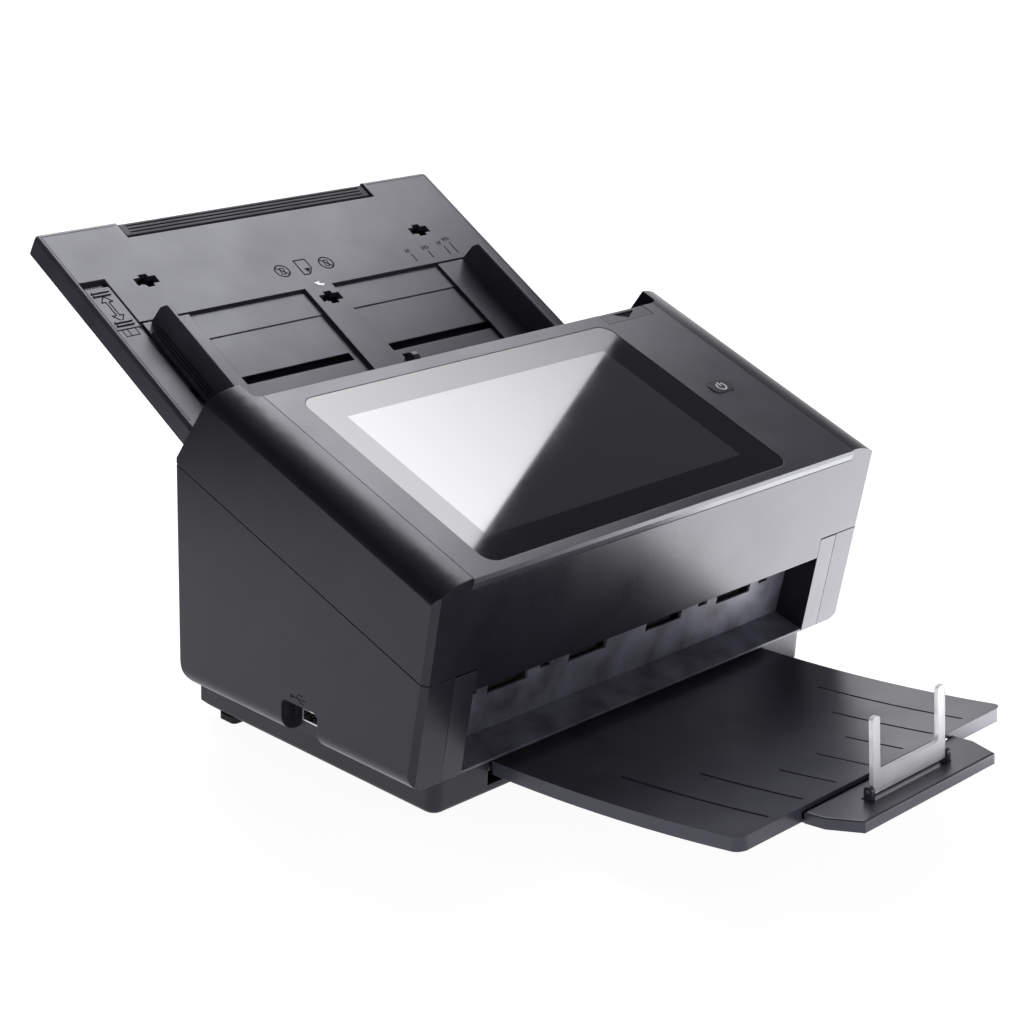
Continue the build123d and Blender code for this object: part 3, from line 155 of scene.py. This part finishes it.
def surface(nodes, links, shader, coords, grain, grain_size, edge):
    """Moulded grain as bump, over edges rounded by the given radius."""
    bump = nodes.new("ShaderNodeBump")
    bump.inputs["Strength"].default_value = grain
    bump.inputs["Distance"].default_value = GRAIN_DEPTH
    links.new(noise(nodes, links, coords, 1.0 / grain_size, 2.0, 0.6), bump.inputs["Height"])
    if edge:
        bevel = nodes.new("ShaderNodeBevel")
        bevel.samples = 4
        bevel.inputs["Radius"].default_value = edge
        links.new(bevel.outputs["Normal"], bump.inputs["Normal"])
    links.new(bump.outputs["Normal"], shader.inputs["Normal"])


def plastic(
    name, colour, rough, grain=0.25, grain_size=0.0005, edge=0.0005, level=0.5, coat=0.0, cloudy=0.14
):
    """Moulded plastic: fine grain, faint cloudy colour and uneven gloss."""
    mat, nodes, links, shader = new_material(name)
    coords = nodes.new("ShaderNodeTexCoord").outputs["Object"]
    cloud = spread(nodes, links, noise(nodes, links, coords, CLOUD_SCALE, 4.0), 0.0, 1.0)
    dark = [c * (1.0 - cloudy) for c in colour]
    light = [c * (1.0 + cloudy) for c in colour]
    links.new(tint(nodes, links, cloud, dark, light), shader.inputs["Base Color"])
    smear = noise(nodes, links, coords, SMEAR_SCALE, 5.0, 0.6)
    links.new(spread(nodes, links, smear, rough * 0.88, rough * 1.14), shader.inputs["Roughness"])
    shader.inputs["Specular IOR Level"].default_value = level
    shader.inputs["Specular Tint"].default_value = PLASTIC_TINT
    shader.inputs["Coat Weight"].default_value = coat
    shader.inputs["Coat Roughness"].default_value = 0.12
    surface(nodes, links, shader, coords, grain, grain_size, edge)
    return mat


def metal(name, colour, rough, brushed=0.15, edge=0.0002):
    """Steel or brass with fine machining marks."""
    mat, nodes, links, shader = new_material(name)
    coords = nodes.new("ShaderNodeTexCoord").outputs["Object"]
    cloud = spread(nodes, links, noise(nodes, links, coords, METAL_SCALE, 4.0), 0.0, 1.0)
    dark = [c * 0.8 for c in colour]
    links.new(tint(nodes, links, cloud, dark, colour), shader.inputs["Base Color"])
    links.new(spread(nodes, links, cloud, rough * 0.8, rough * 1.3), shader.inputs["Roughness"])
    shader.inputs["Metallic"].default_value = 1.0
    surface(nodes, links, shader, coords, brushed, 0.0003, edge)
    return mat


def inside(nodes, links, value, low, high):
    """One where a value lies between two limits."""
    over = nodes.new("ShaderNodeMath")
    over.operation = "GREATER_THAN"
    over.inputs[1].default_value = low
    under = nodes.new("ShaderNodeMath")
    under.operation = "LESS_THAN"
    under.inputs[1].default_value = high
    both = nodes.new("ShaderNodeMath")
    both.operation = "MULTIPLY"
    links.new(value, over.inputs[0])
    links.new(value, under.inputs[0])
    links.new(over.outputs[0], both.inputs[0])
    links.new(under.outputs[0], both.inputs[1])
    return both.outputs[0]


def screen_glass():
    """Black-backed cover glass with the dark grey display area inside its printed border."""
    mat, nodes, links, shader = new_material("screen_glass")
    coords = nodes.new("ShaderNodeTexCoord").outputs["Object"]
    split = nodes.new("ShaderNodeSeparateXYZ")
    links.new(coords, split.inputs[0])
    corner, far = TOP(*DISPLAY_CORNER), TOP(*DISPLAY_FAR)
    across = inside(nodes, links, split.outputs["X"], corner.x, far.x)
    along = inside(nodes, links, split.outputs["Y"], corner.y, far.y)
    area = nodes.new("ShaderNodeMath")
    area.operation = "MULTIPLY"
    links.new(across, area.inputs[0])
    links.new(along, area.inputs[1])
    colour = tint(nodes, links, area.outputs[0], BORDER_COLOUR, DISPLAY_COLOUR)
    links.new(colour, shader.inputs["Base Color"])
    smear = noise(nodes, links, coords, GLASS_SMEAR_SCALE, 5.0, 0.6)
    links.new(spread(nodes, links, smear, 0.035, 0.07), shader.inputs["Roughness"])
    shader.inputs["Specular IOR Level"].default_value = 0.5
    coat = spread(nodes, links, area.outputs[0], 0.2, 0.8, start=0.0, end=1.0)
    links.new(coat, shader.inputs["Coat Weight"])
    shader.inputs["Coat Roughness"].default_value = 0.03
    return mat


def clear_plastic():
    """Frosted clear plastic of the paper stop."""
    mat, nodes, links, shader = new_material("clear_plastic")
    coords = nodes.new("ShaderNodeTexCoord").outputs["Object"]
    cloud = spread(nodes, links, noise(nodes, links, coords, FROST_SCALE, 4.0), 0.0, 1.0)
    colour = tint(nodes, links, cloud, (0.80, 0.80, 0.82), (0.88, 0.88, 0.9))
    links.new(colour, shader.inputs["Base Color"])
    links.new(spread(nodes, links, cloud, 0.28, 0.42), shader.inputs["Roughness"])
    shader.inputs["Transmission Weight"].default_value = 0.55
    shader.inputs["IOR"].default_value = 1.45
    surface(nodes, links, shader, coords, 0.12, 0.0006, 0.0004)
    return mat


def make_materials():
    """One material for each of the record's slots, and a few for the marks."""
    made = {
        "housing": plastic("housing", (0.0100, 0.0100, 0.0150), 0.29, grain=0.04, level=0.40),
        "trim": plastic("trim", (0.015, 0.015, 0.021), 0.33, grain=0.08, level=0.48),
        "grip": plastic("grip", (0.012, 0.012, 0.016), 0.5, grain=0.3, level=0.3),
        "bezel": plastic("bezel", (0.036, 0.036, 0.047), 0.34, grain=0.08, level=0.58),
        "base": plastic("base", (0.013, 0.013, 0.017), 0.42, grain=0.25, level=0.4),
        "liner": plastic("liner", (0.105, 0.105, 0.135), 0.42, grain=0.6, grain_size=0.0009, cloudy=0.5),
        "tray": plastic("tray", (0.034, 0.034, 0.045), 0.32, grain=0.5, grain_size=0.0007),
        "exit_tray": plastic("exit_tray", (0.043, 0.043, 0.060), 0.31, grain=0.12, grain_size=0.0008),
        "button": plastic("button", (0.022, 0.022, 0.028), 0.34, grain=0.1, edge=0.0003),
        "display": plastic("display", (0.02, 0.02, 0.026), 0.3, grain=0.05),
        "screen_glass": screen_glass(),
        "sensor_glass": plastic("sensor_glass", (0.25, 0.28, 0.28), 0.08, grain=0.02, coat=1.0),
        "sensor_body": plastic("sensor_body", (0.015, 0.015, 0.016), 0.5),
        "clear_plastic": clear_plastic(),
        "rubber": plastic("rubber", (0.012, 0.012, 0.012), 0.75, grain=0.6, grain_size=0.0006, level=0.3),
        "steel": metal("steel", (0.55, 0.55, 0.56), 0.3),
        "frame_steel": metal("frame_steel", (0.5, 0.51, 0.52), 0.42),
        "bush": plastic("bush", (0.55, 0.54, 0.5), 0.4, grain=0.08),
        "gear_plastic": plastic("gear_plastic", (0.7, 0.69, 0.64), 0.38, grain=0.06, edge=0.0002),
        "brass": metal("brass", (0.65, 0.45, 0.18), 0.3),
        "motor": plastic("motor", (0.02, 0.02, 0.022), 0.35, grain=0.1),
        "circuit_board": plastic("circuit_board", (0.008, 0.07, 0.035), 0.35, grain=0.08),
        "socket": metal("socket", (0.8, 0.8, 0.82), 0.22),
    }
    # Dark, rough mark material: real print, and painted shade laid in grooves, gaps and sunk or engraved marks
    made["print"] = plastic("print", (0.006, 0.006, 0.009), 0.6, grain=0.05, edge=0, level=0.05)
    made["bright_mark"] = plastic("bright_mark", (0.75, 0.75, 0.78), 0.3, grain=0.03, edge=0, coat=0.5)
    return made


MATERIALS = make_materials()


def dress_nodes():
    """Gives every CAD node the material of its slot."""
    for entry in frame["record"]["subparts"]:
        obj = frame["nodes"][entry["node"]]
        mat = MATERIALS[entry["material_slot"]]
        if not obj.data.materials:
            obj.data.materials.append(mat)
        for k in range(len(obj.data.materials)):
            obj.data.materials[k] = mat


# ---------------------------------------------------------------- marks and small pieces

# Places (x, s) on the top plate and on the input tray, in millimetres
POWER_AT = (109.5, 71.0)
RELEASE_AT = (111.0, 139.0)
SHEET_MARK_AT = (1.2, 104.0)
CROSSED_MARKS_AT = ((-13.8, 104.0), (17.2, 104.0))
LOCKED_MARK_AT = (-127.1, 83.0)
LIGHT_AT = (1.9, 90.0)
LOCK_ARROW = (-126.4, 91.5, 110.2)  # x, lower tip, upper tip
LOCK_RECESS = (-134.0, -118.8, 85.8, 120.8)  # x0, x1, s0, s1

# Heights over the surface between which a mark lies, in millimetres
PRINTED = (-0.02, 0.06)
# Heights of the flat dark strips that paint the shade of the tray's grooves and gaps
GROOVE_SHADE_SPAN = (-0.03, 0.03)
ON_POWER_BUTTON = (0.42, 0.56)
ON_RELEASE_BUTTON = (-0.74, -0.66)
ON_LOCK_SLIDER = (-0.32, -0.2)
ON_SIDE = (-0.02, 0.05)

# Widths of the drawn lines, in millimetres
MARK_LINE = 0.8
LABEL_LINE = 0.55
POWER_LINE = 0.9
ARROW_LINE = 0.6
PORT_LINE = 0.35
TICK_LINE = 0.7

SIZE_TICKS = ((76.3, 5.5), (89.3, 5.5), (102.7, 7.0), (108.6, 9.0))  # x, length
TICK_FOOT = 92.7
RIM_X = 133.9
RIM_TOP = 157.2
LOCK_GAP = 0.35
CONTACT_PITCH = 2.4
CONTACT_SIZE = (7.0, 1.0, 0.12)


def finish_piece(name, bm, mat, body):
    """Turns a bmesh into a piece that rides on a body."""
    bmesh.ops.remove_doubles(bm, verts=bm.verts, dist=1e-7)
    bmesh.ops.recalc_face_normals(bm, faces=bm.faces)
    mesh = bpy.data.meshes.new(name)
    bm.to_mesh(mesh)
    bm.free()
    mesh.materials.append(MATERIALS[mat])
    obj = bpy.data.objects.new(name, mesh)
    bpy.context.scene.collection.objects.link(obj)
    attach(obj, body)
    return obj


def add_prism(bm, place, outline, low, high):
    """A closed prism over an outline of (x, s) points, between two heights."""
    bottom = [bm.verts.new(place(x, s, low)) for x, s in outline]
    top = [bm.verts.new(place(x, s, high)) for x, s in outline]
    bm.faces.new(bottom[::-1])
    bm.faces.new(top)
    count = len(outline)
    for k in range(count):
        j = (k + 1) % count
        bm.faces.new((bottom[k], bottom[j], top[j], top[k]))


def add_stroke(bm, place, points, width, low, high):
    """Straight bars along a run of (x, s) points, each bar lengthened by half its width."""
    half = width / 2
    for (x0, s0), (x1, s1) in zip(points, points[1:]):
        run = Vector((x1 - x0, s1 - s0))
        step = run.normalized() * half
        side = Vector((-step.y, step.x))
        a = Vector((x0, s0)) - step * 0.5
        b = Vector((x1, s1)) + step * 0.5
        outline = [tuple(a + side), tuple(a - side), tuple(b - side), tuple(b + side)]
        add_prism(bm, place, outline[::-1], low, high)


def arc_points(x, s, radius, start=0.0, end=360.0, steps=28):
    """Points along an arc."""
    angles = [radians(start + (end - start) * k / steps) for k in range(steps + 1)]
    return [(x + radius * cos(a), s + radius * sin(a)) for a in angles]


def add_ring(bm, place, x, s, radius, width, low, high, start=0.0, end=360.0, steps=32):
    """A flat ring or arc with square section."""
    inner = arc_points(x, s, radius - width / 2, start, end, steps)
    outer = arc_points(x, s, radius + width / 2, start, end, steps)
    for k in range(steps):
        outline = [inner[k], outer[k], outer[k + 1], inner[k + 1]]
        add_prism(bm, place, outline, low, high)


def power_mark():
    """Bright ring and bar of the power symbol on its button."""
    bm = bmesh.new()
    x, s = POWER_AT
    add_ring(bm, TOP, x, s, 2.8, POWER_LINE, *ON_POWER_BUTTON, start=125, end=415)
    add_stroke(bm, TOP, [(x, s + 0.4), (x, s + 3.6)], POWER_LINE, *ON_POWER_BUTTON)
    finish_piece("power_mark", bm, "bright_mark", "power_button")


def release_arrow_shade():
    """Painted shade: a dark floor laid in the arrow that is sunk into the release button."""
    bm = bmesh.new()
    x, s = RELEASE_AT
    add_prism(bm, TOP, [(x, s + 2.3), (x + 8.0, s + 7.0), (x - 8.0, s + 7.0)], *ON_RELEASE_BUTTON)
    finish_piece("release_arrow_shade", bm, "print", "release_button")


def add_size_label(bm, x, s, index):
    """A short row of plain bars that stands for a sheet size."""
    for k in range(2 + index % 2):
        left = x + 1.9 * k
        middle = s + 1.2 + 1.1 * (k % 2)
        add_stroke(bm, TRAY, [(left, s), (left, s + 2.6)], LABEL_LINE, *PRINTED)
        add_stroke(bm, TRAY, [(left, middle), (left + 1.1, middle)], LABEL_LINE, *PRINTED)


def add_outline(bm, x, s, points, width):
    """A printed outline on the input tray, its points counted from (x, s)."""
    add_stroke(bm, TRAY, [(x + dx, s + ds) for dx, ds in points], width, *PRINTED)


def tray_marks():
    """Marks on the input tray: sheet, crossed circles, size ticks and a small frame, drawn dark; the dark is
    partly print and partly painted shade of engraved lines.
    """
    bm = bmesh.new()
    page = [(-1.6, -2.2), (0.6, -2.6), (1.8, 1.8), (-0.4, 2.4), (-1.6, -2.2)]
    for x, s in CROSSED_MARKS_AT:
        add_ring(bm, TRAY, x, s, 4.4, MARK_LINE, *PRINTED)
        add_outline(bm, x, s, [(-3.0, 3.0), (3.0, -3.0)], MARK_LINE)
        add_outline(bm, x, s, page, MARK_LINE * 0.7)
    x, s = SHEET_MARK_AT
    sheet = [(-3.4, 5.6), (4.4, 5.6), (4.4, -1.4), (0.6, -5.6), (-3.4, -5.6), (-3.4, 5.6)]
    add_outline(bm, x, s, sheet, MARK_LINE)
    add_prism(bm, TRAY, [(x + 0.6, s - 4.6), (x + 3.4, s - 1.2), (x - 0.6, s - 1.2)], *PRINTED)
    for k, (x, tall) in enumerate(SIZE_TICKS):
        add_stroke(bm, TRAY, [(x, TICK_FOOT), (x, TICK_FOOT + tall)], TICK_LINE, *PRINTED)
        add_size_label(bm, x - 2.0 - k * 0.3, TICK_FOOT + 1.7 + tall, k)
    x, s = LOCKED_MARK_AT
    frame_line = [(-4.0, -2.4), (4.0, -2.4), (4.0, 2.4), (-4.0, 2.4), (-4.0, -2.4)]
    add_outline(bm, x, s, frame_line, LABEL_LINE)
    add_outline(bm, x, s, [(-0.8, -2.4), (-0.8, 2.4)], LABEL_LINE)
    finish_piece("tray_marks", bm, "print", "input_tray")


def tray_groove_shade():
    """Thin dark strips of painted shade in the grooves: the rim line along the tray's edge and the gap round the
    lock slider.
    """
    bm = bmesh.new()
    for side in (-1, 1):
        run = [(side * RIM_X, 20.0), (side * RIM_X, RIM_TOP), (side * 88.6, RIM_TOP)]
        add_stroke(bm, TRAY, run, 0.35, *GROOVE_SHADE_SPAN)
    x0, x1, s0, s1 = LOCK_RECESS
    low, right, high = s0 - LOCK_GAP, x1 + LOCK_GAP, s1 + LOCK_GAP
    add_stroke(bm, TRAY, [(x0, low), (right, low), (right, high), (x0, high)], 2 * LOCK_GAP, *GROOVE_SHADE_SPAN)
    finish_piece("tray_groove_shade", bm, "print", "input_tray")


def tray_light():
    """Small pale lens of the sheet light near the middle of the tray."""
    bm = bmesh.new()
    x, s = LIGHT_AT
    lens = [(-3.0, 1.4), (0.6, 1.8), (0.2, 0.2), (3.0, -0.6), (1.2, -2.0), (-1.6, -0.8)]
    outline = [(x + dx, s + ds) for dx, ds in lens]
    add_prism(bm, TRAY, outline[::-1], -0.05, 0.25)
    finish_piece("tray_light", bm, "bright_mark", "input_tray")


def lock_mark():
    """Two-way arrow on the lock slider, drawn dark: partly print, partly painted shade of the engraved arrow."""
    bm = bmesh.new()
    x, s0, s1 = LOCK_ARROW
    for side in (-0.9, 0.9):
        add_stroke(bm, TRAY, [(x + side, s0 + 4.4), (x + side, s1 - 4.4)], ARROW_LINE, *ON_LOCK_SLIDER)
    for tip, way in ((s1, -1), (s0, 1)):
        base = tip + way * 4.4
        head = [(x - 0.9, base), (x - 3.4, base), (x, tip), (x + 3.4, base), (x + 0.9, base)]
        add_stroke(bm, TRAY, head, ARROW_LINE, *ON_LOCK_SLIDER)
    finish_piece("lock_mark", bm, "print", "tray_lock_slider")


def port_mark():
    """Small three-pronged data symbol above the side recess."""
    low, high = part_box("usb_host_port")
    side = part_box("left_side_cover")[0].x
    middle_y, middle_z = (low.y + high.y) / 2, (low.z + high.z) / 2

    def place(x, s, n=0.0):
        return Vector((side - n * MM, middle_y - x * MM, middle_z + s * MM))

    bm = bmesh.new()
    s, x = 12.4, 1.0
    add_stroke(bm, place, [(x - 5.0, s), (x + 5.0, s)], PORT_LINE, *ON_SIDE)
    add_stroke(bm, place, [(x - 2.6, s), (x - 0.6, s + 2.0), (x + 2.2, s + 2.0)], PORT_LINE, *ON_SIDE)
    add_stroke(bm, place, [(x - 0.8, s), (x + 1.0, s - 1.8), (x + 3.0, s - 1.8)], PORT_LINE, *ON_SIDE)
    add_ring(bm, place, x - 5.4, s, 0.7, 0.5, *ON_SIDE, steps=16)
    finish_piece("port_mark", bm, "print", "chassis")


def port_contacts():
    """Four contacts on the host port's tongue."""
    low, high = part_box("usb_host_port")
    middle_y = (low.y + high.y) / 2
    tongue = (low.z + high.z) / 2 + 0.5 * MM
    size = Vector(CONTACT_SIZE) * MM
    bm = bmesh.new()
    for k in range(4):
        y = middle_y + (k - 1.5) * CONTACT_PITCH * MM
        corner = Vector((low.x + 2.6 * MM, y - size.y / 2, tongue - size.z))
        made = bmesh.ops.create_cube(bm, size=1.0)
        for vert in made["verts"]:
            share = vert.co + Vector((0.5, 0.5, 0.5))
            vert.co = corner + Vector((share.x * size.x, share.y * size.y, share.z * size.z))
    finish_piece("port_contacts", bm, "brass", "chassis")


def build_pieces():
    """Every piece that the CAD model doesn't hold."""
    power_mark()
    release_arrow_shade()
    tray_marks()
    tray_groove_shade()
    tray_light()
    lock_mark()
    port_mark()
    port_contacts()


# ---------------------------------------------------------------- camera, floor and light

CAMERA_AT = Vector((-778.38, -714.83, 476.26)) * MM
CAMERA_YAW = -46.56
CAMERA_PITCH = -19.57
CAMERA_ROLL = 1.96
CAMERA_LENS = 79.22
SENSOR_WIDTH = 36.0

FLOOR_HALF = 12.0
FLOOR_GLOW = 0.93
FLOOR_COLOUR = (0.3, 0.3, 0.3, 1.0)

# Height (0 at the horizon, 1 overhead) and colour at which the world's fade starts and ends
HORIZON = (0.12, (1.0, 1.0, 1.0, 1.0))
OVERHEAD = (0.55, (0.12, 0.12, 0.13, 1.0))

# Corners (x, s) of the touch glass and the two places between which the reflection's edge runs
GLASS_UPPER_LEFT = (-122.4, 139.4)
EDGE_NEAR = (-122.4, 17.0)
EDGE_FAR = (89.7, 129.5)
GLASS_CENTRE = (-16.0, 72.5)

# Light: strengths as radiance, sizes and distances in metres
LIGHT_COLOUR = (0.98, 0.98, 1.0)
KEY = 7.0
KEY_DISTANCE = 1.1
KEY_SPAN = (-0.5, 0.75)
KEY_DEPTH = 0.9
KEY_FADE = 0.2
KEY_FADE_SPAN = (-0.12, 0.18)
LOW_FILL = 5.6
LOW_FILL_AT = Vector((0.395, -0.42, 0.002))
LOW_FILL_SIZE = (0.5, 0.7)
FLAG_FOOT = Vector((-0.42, 0.36, 0.0))
FLAG_HALF = Vector((0.69, 0.72, 0.0))
FLAG_HEIGHT = Vector((0.0, 0.0, 1.2))


def view_axes():
    """Right, up and forward of the camera."""
    yaw, pitch, roll = radians(CAMERA_YAW), radians(CAMERA_PITCH), radians(CAMERA_ROLL)
    ahead = Vector((-sin(yaw) * cos(pitch), cos(yaw) * cos(pitch), sin(pitch)))
    right = ahead.cross(Vector((0, 0, 1))).normalized()
    up = right.cross(ahead)
    return cos(roll) * right + sin(roll) * up, -sin(roll) * right + cos(roll) * up, ahead


def make_camera():
    """The camera that looks down at the left front corner."""
    right, up, ahead = view_axes()
    data = bpy.data.cameras.new("camera")
    data.lens = CAMERA_LENS
    data.sensor_width = SENSOR_WIDTH
    data.clip_end = 50.0
    camera = bpy.data.objects.new("camera", data)
    turn = Matrix((right, up, -ahead)).transposed()
    camera.matrix_world = Matrix.Translation(CAMERA_AT) @ turn.to_4x4()
    bpy.context.scene.collection.objects.link(camera)
    bpy.context.scene.camera = camera


def make_floor():
    """Pale floor that is nearly white under the studio light."""
    bm = bmesh.new()
    half = FLOOR_HALF
    corners = ((-half, -half), (half, -half), (half, half), (-half, half))
    bm.faces.new([bm.verts.new((x, y, 0.0)) for x, y in corners])
    mesh = bpy.data.meshes.new("floor")
    bm.to_mesh(mesh)
    bm.free()
    mat, _, _, shader = new_material("floor")
    shader.inputs["Base Color"].default_value = FLOOR_COLOUR
    shader.inputs["Roughness"].default_value = 0.6
    shader.inputs["Specular IOR Level"].default_value = 0.2
    shader.inputs["Emission Color"].default_value = (1.0, 1.0, 1.0, 1.0)
    shader.inputs["Emission Strength"].default_value = FLOOR_GLOW
    mesh.materials.append(mat)
    floor = bpy.data.objects.new("floor", mesh)
    bpy.context.scene.collection.objects.link(floor)


def make_world():
    """White near the horizon, dark overhead."""
    world = bpy.data.worlds.new("studio")
    bpy.context.scene.world = world
    world.use_nodes = True
    nodes, links = world.node_tree.nodes, world.node_tree.links
    back = nodes["Background"]
    coords = nodes.new("ShaderNodeTexCoord")
    split = nodes.new("ShaderNodeSeparateXYZ")
    ramp = nodes.new("ShaderNodeValToRGB")
    for stop, (position, colour) in zip(ramp.color_ramp.elements, (HORIZON, OVERHEAD)):
        stop.position = position
        stop.color = colour
    links.new(coords.outputs["Generated"], split.inputs[0])
    links.new(split.outputs["Z"], ramp.inputs["Fac"])
    links.new(ramp.outputs["Color"], back.inputs["Color"])
    back.inputs["Strength"].default_value = 1.0


def soft_box(name, middle, towards, size, radiance, roll_axis):
    """A rectangular soft light that faces a place."""
    data = bpy.data.lights.new(name, "AREA")
    data.shape = "RECTANGLE"
    data.size, data.size_y = size
    data.energy = radiance * pi * size[0] * size[1]
    light = bpy.data.objects.new(name, data)
    facing = (middle - towards).normalized()
    across = roll_axis.cross(facing).normalized()
    upright = facing.cross(across)
    turn = Matrix((across, upright, facing)).transposed()
    light.matrix_world = Matrix.Translation(middle) @ turn.to_4x4()
    light.visible_camera = False
    data.color = LIGHT_COLOUR
    bpy.context.scene.collection.objects.link(light)
    return light


def key_light():
    """Large soft box whose edge shows in the glass as a diagonal from side to side."""
    normal = (TOP(0, 0, 1) - TOP(0, 0, 0)).normalized()
    behind = CAMERA_AT - 2 * (CAMERA_AT - TOP(0, 0)).dot(normal) * normal
    middle = TOP(*GLASS_CENTRE)
    ahead = (middle - behind).normalized()

    def seen_from_camera(point):
        """Where the glass shows the light's plane at a point."""
        ray = (point - behind).normalized()
        return point + ray * (middle + ahead * KEY_DISTANCE - point).dot(ahead) / ray.dot(ahead)

    a, b, c = (seen_from_camera(TOP(*at)) for at in (EDGE_NEAR, EDGE_FAR, GLASS_UPPER_LEFT))
    edge = (b - a).normalized()
    out = ((c - a) - edge * (c - a).dot(edge)).normalized()
    low, high = KEY_SPAN
    start = (a + b) / 2
    centre = start + edge * (low + high) / 2 + out * KEY_DEPTH / 2
    light = soft_box("key_light", centre, centre - ahead, (KEY_DEPTH, high - low), KEY, roll_axis=edge)
    fade(light.data, edge, start.dot(edge), KEY_FADE)


def fade(data, along, middle, share):
    """Dims a light along a direction, from full on one side of a place to a share on the other."""
    data.use_nodes = True
    nodes, links = data.node_tree.nodes, data.node_tree.links
    place = nodes.new("ShaderNodeNewGeometry").outputs["Position"]
    reach = nodes.new("ShaderNodeVectorMath")
    reach.operation = "DOT_PRODUCT"
    reach.inputs[1].default_value = along
    ramp = nodes.new("ShaderNodeMapRange")
    ramp.inputs["From Min"].default_value = middle + KEY_FADE_SPAN[0]
    ramp.inputs["From Max"].default_value = middle + KEY_FADE_SPAN[1]
    ramp.inputs["To Min"].default_value = 1.0
    ramp.inputs["To Max"].default_value = share
    links.new(place, reach.inputs[0])
    links.new(reach.outputs["Value"], ramp.inputs["Value"])
    links.new(ramp.outputs["Result"], nodes["Emission"].inputs["Strength"])


def make_lights():
    """Key soft box behind the scanner, and a low one that shows in the front panel."""
    key_light()
    above = LOW_FILL_AT + Vector((0, 0, 1))
    soft_box("low_fill", LOW_FILL_AT, above, LOW_FILL_SIZE, LOW_FILL, roll_axis=Vector((0, 1, 0)))


def make_flag():
    """Dark board at the left rear that only glossy surfaces see."""
    bm = bmesh.new()
    left, right = FLAG_FOOT - FLAG_HALF, FLAG_FOOT + FLAG_HALF
    corners = [left, right, right + FLAG_HEIGHT, left + FLAG_HEIGHT]
    bm.faces.new([bm.verts.new(corner) for corner in corners])
    mesh = bpy.data.meshes.new("flag")
    bm.to_mesh(mesh)
    bm.free()
    mat, _, _, shader = new_material("flag")
    shader.inputs["Base Color"].default_value = (0.01, 0.01, 0.012, 1.0)
    shader.inputs["Roughness"].default_value = 0.9
    mesh.materials.append(mat)
    flag = bpy.data.objects.new("flag", mesh)
    flag.visible_camera = False
    flag.visible_diffuse = False
    flag.visible_shadow = False
    bpy.context.scene.collection.objects.link(flag)


def set_tone():
    """Plain tone curve."""
    bpy.context.scene.view_settings.view_transform = "Standard"
    bpy.context.scene.view_settings.look = "None"


make_camera()
dress_nodes()
build_pieces()
make_floor()
make_world()
make_lights()
make_flag()
set_tone()
